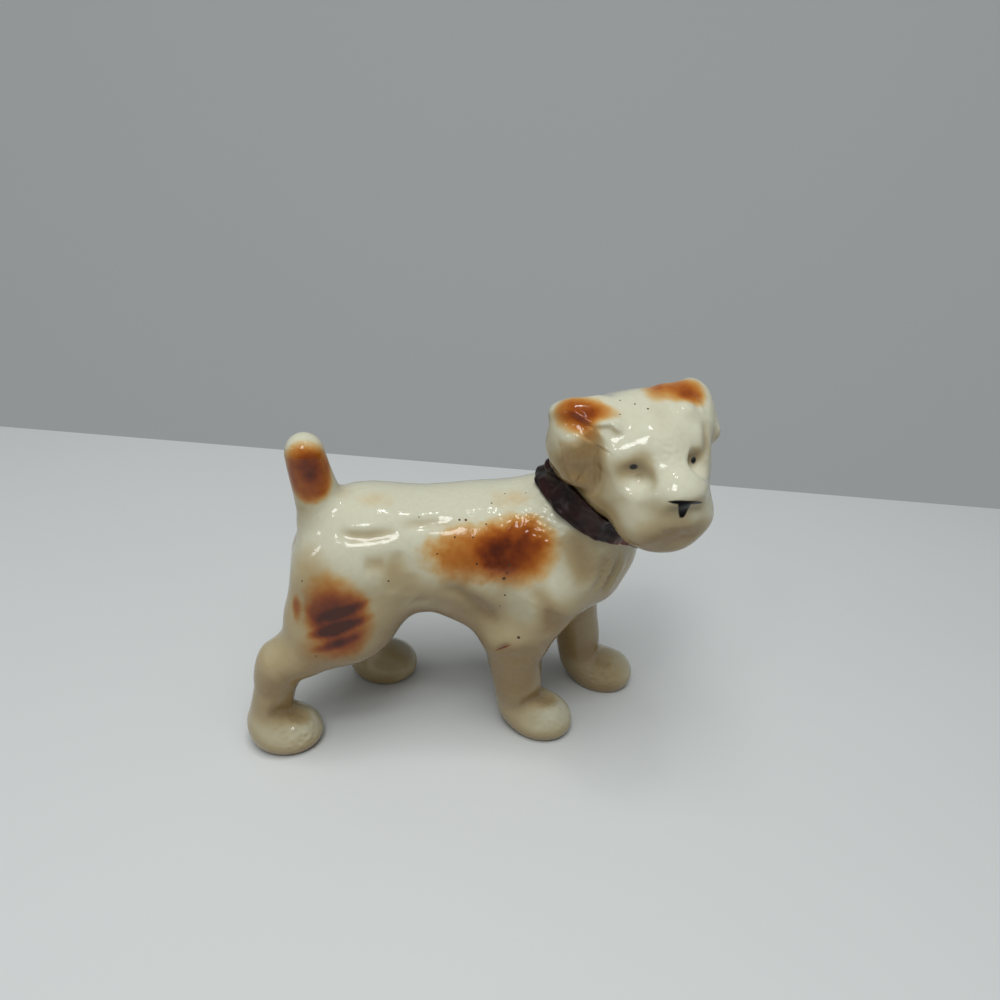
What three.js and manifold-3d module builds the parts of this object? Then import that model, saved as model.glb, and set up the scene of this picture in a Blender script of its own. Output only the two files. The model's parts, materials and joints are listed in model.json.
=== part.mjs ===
// Glazed porcelain figurine of a standing terrier that looks to its right.
// Two hollow castings, the torso and the head, carry luted-on legs, tail and ears, and a collar band.
// Millimetres, +X towards the chest, +Y to the dog's left, +Z up, origin on the table under the middle.
import * as THREE from 'three';
import { ConvexGeometry } from 'three/addons/geometries/ConvexGeometry.js';
import Module from 'manifold-3d';

const wasm = await Module();
wasm.setup();

// Clay work: the gap at each luted joint, the wall of the hollow castings and the vent in the belly
const SEAM = 0.3;
const WALL = 3.8;
const VENT_DIAMETER = 8;
const VENT_X = -8;

// Facet sizes of the outer surface and the hollow, and the sides of the collar and the vent
const BODY_FACET = 2.9;
const HEAD_FACET = 2.2;
const COLLAR_SIDES = 48;
const VENT_SIDES = 20;
const HOLLOW_FACET = 4.8;

// How softly the forms flow into each other
const TORSO_BLEND = 10;
const CHEST_BLEND = 9;
const NECK_BLEND = 8;
const LEG_BLEND = 5;
const PAW_BLEND = 4;
const TAIL_BLEND = 2;
const HEAD_BLEND = 3;
const CHEEK_BLEND = 5;
const BRIDGE_BLEND = 4.5;
const MUZZLE_BLEND = 4;
const EYE_BLEND = 3;
const EAR_BLEND = 2.5;
const EAR_FOLD_BLEND = 1;
const EAR_SWELL_BLEND = 2;

// Torso forms: place along the body, length, width, depth and height of the top above the table
const RUMP = { x: -28.5, length: 32, width: 30, depth: 35, top: 69.5 };
const LOIN = { x: -10, length: 48, width: 30, depth: 31.6, top: 69.3 };
const RIBS = { x: 11, length: 42, width: 33, depth: 35, top: 70 };
const CHEST = { x: 28.7, length: 26, width: 27, depth: 27, top: 64 };

// Neck, from the shoulders up to the head, and the collar round it
const NECK_FOOT = [21, 0, 57];
const NECK_TOP = [34, -4, 75];
const NECK_FOOT_RADIUS = 14;
const NECK_TOP_RADIUS = 11.2;
const COLLAR_AT = [30, -2.5, 68.2];
const COLLAR_FACING = [0.535, -0.03, 0.844];
const COLLAR_WIDTH = 6.4;
const COLLAR_RADIUS = 15;
const COLLAR_EDGE = 1.2;

// Tail
const TAIL_ROOT = [-34, 0, 62];
const TAIL_TIP = [-38.2, 0, 80.8];
const TAIL_ROOT_RADIUS = 5.7;
const TAIL_TIP_RADIUS = 5.2;
const TAIL_JOINT = 0.3;
const TAIL_JOINT_LEAN = 24.5;

// Thigh form on each hind leg
const THIGH = { length: 27, width: 17, depth: 33, lean: 20 };

// Paw form: the sole is cut flat this far below the middle of the form
const PAW = { length: 19, width: 15, depth: 14.6, middle: 4.3 };

// Legs: y is towards the dog's left. Each limb bends at its points, drop says how far under the belly
// forms the leg was luted on, and lean is that joint's lean in degrees.
const LEGS = [
  {
    name: 'right_hind_leg',
    thigh: [-29, -9, 44.5],
    bones: [
      { from: [-27, -10.5, 35], to: [-46, -10.5, 24.5], radii: [8.5, 6.2], blend: 6 },
      { from: [-48, -10.5, 22], to: [-49.5, -10.5, 8], radii: [5.8, 5.4], blend: 5 },
    ],
    paw: [-46, -9.7],
    drop: 3.3,
    lean: 24.4,
  },
  {
    name: 'left_hind_leg',
    thigh: [-25, 9.5, 44.5],
    bones: [
      { from: [-19, 11, 35], to: [-26, 12.5, 24], radii: [8.5, 6], blend: 6 },
      { from: [-26.5, 12.5, 24], to: [-25.5, 13.5, 8], radii: [5.8, 5.2], blend: 4 },
    ],
    paw: [-21, 13.5],
    drop: 4.1,
    lean: 21.8,
  },
  {
    name: 'right_fore_leg',
    bones: [
      { from: [17, -10.5, 48], to: [12.5, -10.5, 34], radii: [9.3, 7.6], blend: 4 },
      { from: [12, -10.5, 34], to: [15.5, -10, 9], radii: [7.4, 6.4], blend: 4 },
    ],
    paw: [20, -9.2],
    drop: 1.4,
    lean: 0,
  },
  {
    name: 'left_fore_leg',
    bones: [
      { from: [31, 9.5, 48], to: [31, 9, 34], radii: [8.5, 7], blend: 4 },
      { from: [31, 9, 34], to: [36, 8, 9], radii: [6.8, 6], blend: 4 },
    ],
    paw: [42, 7.5],
    drop: 1.4,
    lean: 0,
  },
];

// Head: its middle, how far it is turned to the right, lifted and tilted, in degrees
const HEAD_AT = [36.8, -9.2, 86.3];
const HEAD_TURN = 81;
const HEAD_LIFT = 8;
const HEAD_TILT = 8.5;
const HEAD_REACH = 27;

// Forms of the head, in its own directions: forward, to its left, up. The eye, cheek, brow and jowl
// forms stand on both sides.
const SKULL = { at: [-4.5, 0, 0.8], radii: [14.5, 15, 11.2] };
const CROWN = { at: [-1, 0, 8.6], radii: [5.5, 12, 4] };
const CHEEK = { at: [2.5, 6.5, -6], radii: [10, 7.5, 10] };
const BROW = { at: [7.2, 7.2, 3.6], radii: [4, 5, 3.4] };
const FOREHEAD = { at: [5, 0, 4.5], radii: [6.5, 6, 6] };
const BRIDGE = { from: [8, 0, 0.2], to: [17.3, 0, -4], radii: [4.6, 4.2] };
const MUZZLE = { at: [12.3, 0, -8.6], radii: [8.4, 8.7, 6.8] };
const JOWL = { at: [11.5, 5.5, -13], radii: [6.8, 5.8, 5.5] };
const CHIN = { at: [9.5, 0, -16], radii: [7, 7.5, 4.5] };
const EYE_SOCKET = { at: [13.3, 7, -1.4], radii: [3, 2.6, 2.2] };

// Ear: a folded flap between four corners, on a root, with a swelling where it hangs. Left side given.
const EAR_BACK = [-5.8, 15.6, 9.6];
const EAR_FRONT = [6.2, 10.5, 9];
const EAR_TIP = [3, 16.2, -2];
const EAR_HEEL = [-9, 16.4, -4];
const EAR_THICKNESS = 4.8;
const EAR_ROOT = { from: [-1, 10, 9.2], to: [-1, 14, 9.6], radii: [4.2, 3.5] };
const EAR_SWELL = { at: [-1, 16, 3], radii: [7.5, 3.6, 6.5], turn: 20 };
const EAR_SOCKET = 1;
const EAR_COVER = 6;

const RADIANS = Math.PI / 180;
const REACH = 200;

// A clay form is a function of x, y, z that gives the distance to its surface, less than zero inside.

// Least of two distances, with a fillet about as wide as the softness
function softLeast(a, b, softness) {
  const overlap = Math.max(softness - Math.abs(a - b), 0) / softness;
  return Math.min(a, b) - (overlap * overlap * softness) / 4;
}

// Ellipsoid: the distance is the scaled radius times its own falloff
function egg(at, radii, lean = 0, turn = 0) {
  const [rx, ry, rz] = radii;
  const [cosLean, sinLean] = [Math.cos(lean * RADIANS), Math.sin(lean * RADIANS)];
  const [cosTurn, sinTurn] = [Math.cos(turn * RADIANS), Math.sin(turn * RADIANS)];
  return (px, py, pz) => {
    const [dx, dy, dz] = [px - at[0], py - at[1], pz - at[2]];
    const x1 = dx * cosTurn - dy * sinTurn;
    const y = dx * sinTurn + dy * cosTurn;
    const x = x1 * cosLean + dz * sinLean;
    const z = dz * cosLean - x1 * sinLean;
    const near = Math.hypot(x / rx, y / ry, z / rz) + 1e-6;
    const steep = Math.hypot(x / rx ** 2, y / ry ** 2, z / rz ** 2) + 1e-9;
    return (near * (near - 1)) / steep;
  };
}

// Tapered rod with round ends between two points
function bone(from, to, radii) {
  const a = new THREE.Vector3(...from);
  const along = new THREE.Vector3(...to).sub(a);
  const length2 = along.lengthSq();
  const p = new THREE.Vector3();
  return (x, y, z) => {
    p.set(x, y, z).sub(a);
    const t = THREE.MathUtils.clamp(p.dot(along) / length2, 0, 1);
    const radius = radii[0] + (radii[1] - radii[0]) * t;
    return p.addScaledVector(along, -t).length() - radius;
  };
}

// Flat triangle of an even thickness with round edges
function flap(cornerA, cornerB, cornerC, thickness) {
  const corners = [cornerA, cornerB, cornerC].map((c) => new THREE.Vector3(...c));
  const triangle = new THREE.Triangle(...corners);
  const [p, nearest] = [new THREE.Vector3(), new THREE.Vector3()];
  return (x, y, z) => {
    p.set(x, y, z);
    triangle.closestPointToPoint(p, nearest);
    return nearest.distanceTo(p) - thickness / 2;
  };
}

// Joins [form, softness] pairs to a first form, one after the other
function clay(first, ...others) {
  return (x, y, z) => {
    let distance = first(x, y, z);
    for (const [form, softness] of others) {
      distance = softLeast(distance, form(x, y, z), softness);
    }
    return distance;
  };
}

// A form made in the head's own directions, placed in the figure
const headForward = new THREE.Vector3(
  Math.cos(HEAD_TURN * RADIANS) * Math.cos(HEAD_LIFT * RADIANS),
  -Math.sin(HEAD_TURN * RADIANS) * Math.cos(HEAD_LIFT * RADIANS),
  Math.sin(HEAD_LIFT * RADIANS),
);
const levelLeft = new THREE.Vector3(Math.sin(HEAD_TURN * RADIANS), Math.cos(HEAD_TURN * RADIANS), 0);
const headLeft = levelLeft.clone().applyAxisAngle(headForward, HEAD_TILT * RADIANS);
const headUp = new THREE.Vector3().crossVectors(headForward, headLeft);
function onHead(form) {
  const [f, l, u] = [headForward, headLeft, headUp];
  return (px, py, pz) => {
    const [x, y, z] = [px - HEAD_AT[0], py - HEAD_AT[1], pz - HEAD_AT[2]];
    return form(
      x * f.x + y * f.y + z * f.z,
      x * l.x + y * l.y + z * l.z,
      x * u.x + y * u.y + z * u.z,
    );
  };
}

function onSide([forward, left, up], side) {
  return [forward, left * side, up];
}

// Torso form from its place, size and the height of its top
function barrel({ x, length, width, depth, top }) {
  return egg([x, 0, top - depth / 2], [length / 2, width / 2, depth / 2]);
}

const torsoForm = clay(
  barrel(RUMP),
  [barrel(LOIN), TORSO_BLEND],
  [barrel(RIBS), TORSO_BLEND],
  [barrel(CHEST), CHEST_BLEND],
  [bone(NECK_FOOT, NECK_TOP, [NECK_FOOT_RADIUS, NECK_TOP_RADIUS]), NECK_BLEND],
);

const tailForm = bone(TAIL_ROOT, TAIL_TIP, [TAIL_ROOT_RADIUS, TAIL_TIP_RADIUS]);

function legForm({ thigh, bones, paw }) {
  const limbs = bones.map(({ from, to, radii, blend }) => [bone(from, to, radii), blend]);
  const pawForm = egg([...paw, PAW.middle], [PAW.length / 2, PAW.width / 2, PAW.depth / 2]);
  if (thigh) {
    const thighForm = egg(thigh, [THIGH.length / 2, THIGH.width / 2, THIGH.depth / 2], THIGH.lean);
    return clay(thighForm, ...limbs, [pawForm, PAW_BLEND]);
  }
  return clay(limbs[0][0], ...limbs.slice(1), [pawForm, PAW_BLEND]);
}

function headForm() {
  const forms = [];
  for (const side of [-1, 1]) {
    forms.push([egg(onSide(CHEEK.at, side), CHEEK.radii), CHEEK_BLEND]);
    forms.push([egg(onSide(BROW.at, side), BROW.radii), CHEEK_BLEND]);
  }
  forms.push([egg(CROWN.at, CROWN.radii), MUZZLE_BLEND]);
  forms.push([egg(FOREHEAD.at, FOREHEAD.radii), MUZZLE_BLEND]);
  forms.push([bone(BRIDGE.from, BRIDGE.to, BRIDGE.radii), BRIDGE_BLEND]);
  forms.push([egg(MUZZLE.at, MUZZLE.radii), MUZZLE_BLEND]);
  for (const side of [-1, 1]) {
    forms.push([egg(onSide(JOWL.at, side), JOWL.radii), MUZZLE_BLEND]);
  }
  forms.push([egg(CHIN.at, CHIN.radii), MUZZLE_BLEND]);
  const solid = clay(egg(SKULL.at, SKULL.radii), ...forms);
  const sockets = [-1, 1].map((side) => egg(onSide(EYE_SOCKET.at, side), EYE_SOCKET.radii));
  return onHead((x, y, z) => {
    let distance = solid(x, y, z);
    for (const socket of sockets) {
      distance = -softLeast(-distance, socket(x, y, z), EYE_BLEND);
    }
    return distance;
  });
}

// One ear: its flap, hanging from a root on the skull
function earForm(side) {
  const [back, front, tip, heel] = [EAR_BACK, EAR_FRONT, EAR_TIP, EAR_HEEL].map((c) => onSide(c, side));
  return onHead(clay(
    flap(back, front, tip, EAR_THICKNESS),
    [flap(back, tip, heel, EAR_THICKNESS), EAR_FOLD_BLEND],
    [bone(onSide(EAR_ROOT.from, side), onSide(EAR_ROOT.to, side), EAR_ROOT.radii), EAR_BLEND],
    [egg(onSide(EAR_SWELL.at, side), EAR_SWELL.radii, 0, EAR_SWELL.turn * side), EAR_SWELL_BLEND],
  ));
}

const headShape = headForm();
const headWithEars = clay(
  headShape,
  [earForm(-1), EAR_BLEND],
  [earForm(1), EAR_BLEND],
);
const coreForm = clay(torsoForm, [headShape, HEAD_BLEND]);
const figure = clay(
  torsoForm,
  [tailForm, TAIL_BLEND],
  ...LEGS.map((leg) => [legForm(leg), LEG_BLEND]),
  [headWithEars, HEAD_BLEND],
);

// Turns the clay inside a box into a closed solid. A facet corner is put in each cell that the surface
// crosses, at the mean of its crossings, and is then drawn onto the surface.
function cast(form, [lowX, lowY, lowZ], [highX, highY, highZ], facet) {
  const low = [lowX, lowY, lowZ];
  const counts = [highX - lowX, highY - lowY, highZ - lowZ].map((span) => Math.ceil(span / facet) + 1);
  const [nx, ny, nz] = counts;
  const at = (i, j, k) => (i * ny + j) * nz + k;
  const steps = [at(1, 0, 0), at(0, 1, 0), at(0, 0, 1)];
  const values = new Float64Array(nx * ny * nz);
  for (let i = 0; i < nx; i++) {
    for (let j = 0; j < ny; j++) {
      for (let k = 0; k < nz; k++) {
        const rim = [i, j, k].some((n, axis) => n === 0 || n === counts[axis] - 1);
        const value = form(lowX + i * facet, lowY + j * facet, lowZ + k * facet);
        values[at(i, j, k)] = rim ? Math.max(value, facet / 2) : value;
      }
    }
  }
  fillPinches(values, counts, steps);

  const corners = [];
  for (let n = 0; n < 8; n++) {
    corners.push([n & 1, (n >> 1) & 1, (n >> 2) & 1]);
  }
  const cellVertex = new Int32Array(values.length).fill(-1);
  const points = [];
  for (let i = 0; i < nx - 1; i++) {
    for (let j = 0; j < ny - 1; j++) {
      for (let k = 0; k < nz - 1; k++) {
        const sum = [0, 0, 0];
        let crossings = 0;
        for (const corner of corners) {
          const a = at(i + corner[0], j + corner[1], k + corner[2]);
          for (let axis = 0; axis < 3; axis++) {
            const b = a + steps[axis];
            if (corner[axis] === 1 || values[a] < 0 === values[b] < 0) continue;
            const t = values[a] / (values[a] - values[b]);
            for (let m = 0; m < 3; m++) {
              sum[m] += corner[m] + (m === axis ? t : 0);
            }
            crossings++;
          }
        }
        if (crossings === 0) continue;
        cellVertex[at(i, j, k)] = points.length / 3;
        [i, j, k].forEach((n, m) => points.push(low[m] + (n + sum[m] / crossings) * facet));
      }
    }
  }
  drawToSurface(form, points, facet);

  const faces = [];
  const distance = (a, b) => Math.hypot(
    points[3 * a] - points[3 * b],
    points[3 * a + 1] - points[3 * b + 1],
    points[3 * a + 2] - points[3 * b + 2],
  );
  for (let i = 0; i < nx - 1; i++) {
    for (let j = 0; j < ny - 1; j++) {
      for (let k = 0; k < nz - 1; k++) {
        const a = at(i, j, k);
        for (let axis = 0; axis < 3; axis++) {
          const b = a + steps[axis];
          if (values[a] < 0 === values[b] < 0) continue;
          const [u, v] = [steps[(axis + 1) % 3], steps[(axis + 2) % 3]];
          const ring = [a - u - v, a - v, a, a - u].map((cell) => cellVertex[cell]);
          if (values[a] >= 0) ring.reverse();
          const [p, q, r, s] = ring;
          if (distance(p, r) <= distance(q, s)) faces.push(p, q, r, p, r, s);
          else faces.push(q, r, s, q, s, p);
        }
      }
    }
  }
  return solidOf(new Float32Array(points), new Uint32Array(faces));
}

// Fills grid corners where two inside corners meet only across a cell's face, so that no edge pinches
function fillPinches(values, [nx, ny, nz], steps) {
  const last = values.length - 1;
  for (let filled = true; filled;) {
    filled = false;
    for (let a = 0; a <= last; a++) {
      for (const [u, v] of [[0, 1], [1, 2], [2, 0]]) {
        const square = [a, a + steps[u], a + steps[u] + steps[v], a + steps[v]];
        if (square[2] > last) continue;
        const inside = square.map((n) => values[n] < 0);
        if (inside[0] !== inside[2] || inside[1] !== inside[3] || inside[0] === inside[1]) continue;
        const outer = square.filter((n) => values[n] >= 0);
        const nearer = values[outer[0]] < values[outer[1]] ? outer[0] : outer[1];
        values[nearer] = -1e-3;
        filled = true;
      }
    }
  }
}

// Moves each point along the slope of the distance until it lies on the surface
function drawToSurface(form, points, facet) {
  const nudge = 0.02;
  for (let n = 0; n < points.length; n += 3) {
    for (let step = 0; step < 3; step++) {
      const [x, y, z] = [points[n], points[n + 1], points[n + 2]];
      const value = form(x, y, z);
      if (Math.abs(value) > facet) break;
      const slope = [
        (form(x + nudge, y, z) - form(x - nudge, y, z)) / (2 * nudge),
        (form(x, y + nudge, z) - form(x, y - nudge, z)) / (2 * nudge),
        (form(x, y, z + nudge) - form(x, y, z - nudge)) / (2 * nudge),
      ];
      const steepness = slope[0] ** 2 + slope[1] ** 2 + slope[2] ** 2;
      slope.forEach((s, m) => {
        points[n + m] -= (s * value) / Math.max(steepness, 0.25);
      });
    }
  }
}

function solidOf(vertProperties, triVerts) {
  return new wasm.Manifold(new wasm.Mesh({ numProp: 3, vertProperties, triVerts }));
}

// A closed three.js geometry as a solid, moved by a matrix
function solidFrom(geometry, matrix = new THREE.Matrix4()) {
  const position = geometry.clone().applyMatrix4(matrix).getAttribute('position');
  const known = new Map();
  const points = [];
  const index = [];
  const source = geometry.index ? Array.from(geometry.index.array) : [...Array(position.count).keys()];
  for (const n of source) {
    const point = [position.getX(n), position.getY(n), position.getZ(n)].map((v) => Math.fround(v));
    const key = point.map((v) => v.toFixed(4)).join();
    if (!known.has(key)) {
      known.set(key, points.length / 3);
      points.push(...point);
    }
    index.push(known.get(key));
  }
  const faces = [];
  for (let n = 0; n < index.length; n += 3) {
    const [a, b, c] = index.slice(n, n + 3);
    if (a !== b && b !== c && c !== a) faces.push(a, b, c);
  }
  return solidOf(new Float32Array(points), new Uint32Array(faces));
}

// Everything on the side of a plane that its normal points to, less a margin
function beyond(point, normal, margin = 0) {
  const turn = new THREE.Quaternion().setFromUnitVectors(new THREE.Vector3(0, 0, 1), normal);
  const block = new THREE.BoxGeometry(2 * REACH, 2 * REACH, REACH).translate(0, 0, REACH / 2 + margin);
  const place = new THREE.Matrix4().makeRotationFromQuaternion(turn).setPosition(...point);
  return solidFrom(block, place);
}

// Lowest point of the torso forms over the front legs or over the hind legs
function underside(front) {
  const barrels = front ? [RIBS, CHEST] : [RUMP];
  return Math.min(...barrels.map(({ top, depth }) => top - depth));
}

// The side of a leg's joint that the leg is on: under a leaning plane, on its own side of the middle
function legSide({ bones: [{ from, to }], drop, lean }, margin = 0) {
  const height = underside(from[0] > 0) - drop;
  const seat = new THREE.Vector3(...from).lerp(new THREE.Vector3(...to), (from[2] - height) / (from[2] - to[2]));
  const down = new THREE.Vector3(-Math.sin(lean * RADIANS), 0, -Math.cos(lean * RADIANS));
  const side = Math.sign(seat.y);
  const front = seat.x > 0;
  const quarter = new THREE.BoxGeometry(REACH, REACH, REACH);
  quarter.translate((front ? 1 : -1) * (REACH / 2), side * (REACH / 2 + SEAM / 2 - margin), 0);
  return beyond(seat.toArray(), down, -margin).intersect(solidFrom(quarter));
}

// The side of the tail's joint that the tail is on
function tailSide(margin = 0) {
  const seat = new THREE.Vector3(...TAIL_ROOT).lerp(new THREE.Vector3(...TAIL_TIP), TAIL_JOINT);
  const up = new THREE.Vector3(-Math.sin(TAIL_JOINT_LEAN * RADIANS), 0, Math.cos(TAIL_JOINT_LEAN * RADIANS));
  const reach = TAIL_ROOT_RADIUS + TAIL_BLEND;
  const span = Math.abs(TAIL_ROOT[0] - TAIL_TIP[0]) + 2 * reach;
  const round = new THREE.BoxGeometry(span, 2 * reach, REACH);
  round.translate((TAIL_ROOT[0] + TAIL_TIP[0]) / 2, TAIL_ROOT[1], seat.z);
  return beyond(seat.toArray(), up, -margin).intersect(solidFrom(round));
}

const collarFacing = new THREE.Vector3(...COLLAR_FACING).normalize();
const aboveTable = beyond([0, 0, 0], new THREE.Vector3(0, 0, 1));
const headSide = (margin = 0) => beyond(COLLAR_AT, collarFacing, SEAM / 2 - margin);

// Boxes that hold the whole figure, the head with its ears and the collar
const legXs = LEGS.flatMap(({ bones, paw }) => [paw[0], ...bones.flatMap(({ from, to }) => [from[0], to[0]])]);
const hindEnd = Math.min(RUMP.x - RUMP.length / 2, TAIL_TIP[0], ...legXs) - PAW.length / 2 - LEG_BLEND;
const frontEnd = Math.max(CHEST.x + CHEST.length / 2, ...legXs) + PAW.length / 2 + LEG_BLEND;
const halfWidth = Math.max(...LEGS.map(({ paw }) => Math.abs(paw[1]))) + PAW.width / 2 + LEG_BLEND;
const tallest = Math.max(RUMP.top, LOIN.top, RIBS.top, TAIL_TIP[2]) + TAIL_ROOT_RADIUS + LEG_BLEND;
const BODY_BOX = [[hindEnd, -halfWidth, -PAW.depth / 2], [frontEnd, halfWidth, tallest]];
const HEAD_BOX = [-1, 1].map((way) => HEAD_AT.map((v) => v + way * HEAD_REACH));
const COLLAR_BOX = [-1, 1].map((way) => COLLAR_AT.map((v) => v + way * (COLLAR_RADIUS + COLLAR_WIDTH)));

// The outer skins that the pieces are cut from, and the one hollow inside the torso and the head
const bodySkin = cast(figure, ...BODY_BOX, BODY_FACET);
const headSkin = cast(figure, ...HEAD_BOX, HEAD_FACET).intersect(headSide());
const hollow = cast((x, y, z) => coreForm(x, y, z) + WALL, BODY_BOX[0], HEAD_BOX[1], HOLLOW_FACET);

function torso() {
  const vent = new THREE.CylinderGeometry(VENT_DIAMETER / 2, VENT_DIAMETER / 2, LOIN.depth, VENT_SIDES);
  vent.rotateX(Math.PI / 2).translate(VENT_X, 0, LOIN.top - LOIN.depth);
  const joints = [...LEGS.map((shape) => legSide(shape, SEAM)), tailSide(SEAM), headSide(SEAM)];
  return joints.reduce((body, joint) => body.subtract(joint), bodySkin)
    .subtract(hollow)
    .subtract(solidFrom(vent));
}

// The socket that an ear is luted into: a round-edged block about the corners of the flap, and outwards
function earSeat(side, margin = 0) {
  const ball = new THREE.IcosahedronGeometry(EAR_THICKNESS / 2 + EAR_SOCKET + margin, 1).getAttribute('position');
  const points = [];
  for (const [forward, left, up] of [EAR_BACK, EAR_FRONT, EAR_TIP, EAR_HEEL]) {
    for (const reach of [left, left + EAR_COVER]) {
      const corner = new THREE.Vector3(forward, reach * side, up);
      for (let n = 0; n < ball.count; n++) {
        points.push(new THREE.Vector3().fromBufferAttribute(ball, n).add(corner));
      }
    }
  }
  const place = new THREE.Matrix4().makeBasis(headForward, headLeft, headUp).setPosition(...HEAD_AT);
  return solidFrom(new ConvexGeometry(points), place);
}

function head() {
  return headSkin.subtract(earSeat(-1, SEAM)).subtract(earSeat(1, SEAM)).subtract(hollow);
}

function ear(side) {
  return headSkin.intersect(earSeat(side)).subtract(hollow);
}

// A ring with eased edges round the neck, cut away where the clay covers it
function collar() {
  const [inner, half, edge] = [COLLAR_RADIUS / 2, COLLAR_WIDTH / 2, COLLAR_EDGE];
  const profile = [
    [inner, -half],
    [COLLAR_RADIUS - edge, -half],
    [COLLAR_RADIUS, edge - half],
    [COLLAR_RADIUS, half - edge],
    [COLLAR_RADIUS - edge, half],
    [inner, half],
    [inner, -half],
  ].map(([radius, height]) => new THREE.Vector2(radius, height));
  const ring = new THREE.LatheGeometry(profile, COLLAR_SIDES);
  const turn = new THREE.Quaternion().setFromUnitVectors(new THREE.Vector3(0, 1, 0), collarFacing);
  const place = new THREE.Matrix4().makeRotationFromQuaternion(turn).setPosition(...COLLAR_AT);
  const clearance = (x, y, z) => figure(x, y, z) - SEAM;
  return solidFrom(ring, place).subtract(cast(clearance, ...COLLAR_BOX, HEAD_FACET));
}

function tail() {
  return bodySkin.intersect(tailSide());
}

function leg(shape) {
  return bodySkin.intersect(legSide(shape)).intersect(aboveTable);
}

// Finishes: cream glaze, and the dark brown painted clay of the collar
const glaze = () => new THREE.MeshStandardMaterial({ color: 0xe6e1cf, roughness: 0.08, metalness: 0 });
const leather = () => new THREE.MeshStandardMaterial({ color: 0x3a211c, roughness: 0.5, metalness: 0 });

const group = new THREE.Group();

function add(name, solid, material) {
  const { vertProperties, triVerts } = solid.getMesh();
  const geometry = new THREE.BufferGeometry();
  geometry.setAttribute('position', new THREE.BufferAttribute(vertProperties, 3));
  geometry.setIndex(new THREE.BufferAttribute(triVerts, 1));
  const mesh = new THREE.Mesh(geometry, material);
  mesh.name = name;
  group.add(mesh);
}

add('torso', torso(), glaze());
add('head', head(), glaze());
add('right_ear', ear(-1), glaze());
add('left_ear', ear(1), glaze());
add('collar', collar(), leather());
add('tail', tail(), glaze());
for (const shape of LEGS) {
  add(shape.name, leg(shape), glaze());
}

// The origin goes on the table under the middle of the figure
const extent = new THREE.Box3().setFromObject(group);
const middle = extent.getCenter(new THREE.Vector3());
group.position.set(-middle.x, -middle.y, -extent.min.z);

export default group;
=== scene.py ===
"""Glazed porcelain figurine of a standing terrier, with the plain studio that it is shown in.

The clay is a field over space, in millimetres: the distance to the surface, less than zero inside. Forms
are joined with a fillet. A skin is drawn where the field is zero, worked over with modelling strokes,
cut at the luted joints and put into one mesh for each piece. In the figure's own frame +X is towards the
chest, +Y is the dog's left and Z is zero at the table. Meshes are in metres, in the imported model's frame.
"""
import functools
import json
import math

import bpy
import numpy as np
from bpy.props import FloatProperty, FloatVectorProperty, PointerProperty
from mathutils import Matrix, Vector


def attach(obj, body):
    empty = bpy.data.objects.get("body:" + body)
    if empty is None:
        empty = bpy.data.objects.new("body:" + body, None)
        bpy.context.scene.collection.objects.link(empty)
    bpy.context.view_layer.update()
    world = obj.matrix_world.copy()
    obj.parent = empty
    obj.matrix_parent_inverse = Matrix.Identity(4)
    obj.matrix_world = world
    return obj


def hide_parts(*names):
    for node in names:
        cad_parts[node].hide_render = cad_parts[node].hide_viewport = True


bl_info = {
    "name": "Porcelain Terrier",
    "version": (1, 0, 0),
    "blender": (4, 5, 0),
    "location": "3D View > Sidebar > Terrier",
    "description": "Models a glazed porcelain terrier and the studio that it stands in",
    "category": "Add Mesh",
}

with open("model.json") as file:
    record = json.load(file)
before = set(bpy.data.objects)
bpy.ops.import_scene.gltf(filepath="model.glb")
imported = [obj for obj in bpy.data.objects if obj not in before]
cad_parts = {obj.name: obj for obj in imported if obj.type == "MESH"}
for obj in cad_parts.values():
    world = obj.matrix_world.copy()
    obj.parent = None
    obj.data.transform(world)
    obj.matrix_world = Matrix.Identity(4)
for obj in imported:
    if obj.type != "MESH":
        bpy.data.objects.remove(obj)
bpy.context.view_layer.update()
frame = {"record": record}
BODY = "root"
GLAZE_SLOT = "cream_glaze"
COLLAR_SLOT = "collar_brown"
MM = 0.001

# A form is an egg, (middle, radii, fillet), or a rod, (start, end, radii of its ends, fillet). Its fillet
# joins it to the forms before it, and presses it into them if it is less than zero.
BARRELS = [
    ((-27.8, 0, 52), (16, 15, 17.5), 10),
    ((-10, 0, 53.5), (24, 15, 15.8), 10),
    ((11, 0, 52.5), (21, 16.5, 17.5), 10),
    ((28.7, 0, 50.5), (13, 13.5, 13.5), 9),
]
NECK = ((21, 0, 57), (34, -4, 75), (14, 11.2), 8)
BREAST = ((35.5, 0.5, 56), (7.5, 9.5, 8.5), 5)

# Tail, and the plane that it is luted on at, a share of the way along it and leaning back in degrees
TAIL = ((-35.3, 0, 62), (-39.1, 0, 80.2), (6, 4.6), 3.5)
TAIL_JOINT = 0.3
TAIL_JOINT_LEAN = 24.5
TAIL_REACH = 18

# Belly vent that drains the casting, and the edge that is left where the soles are ground flat
VENT_AT = (-8, 0)
VENT_RADIUS = 4
VENT_TOP = 43
VENT_EDGE = 0.8
SOLE_EDGE = 0.6

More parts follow.
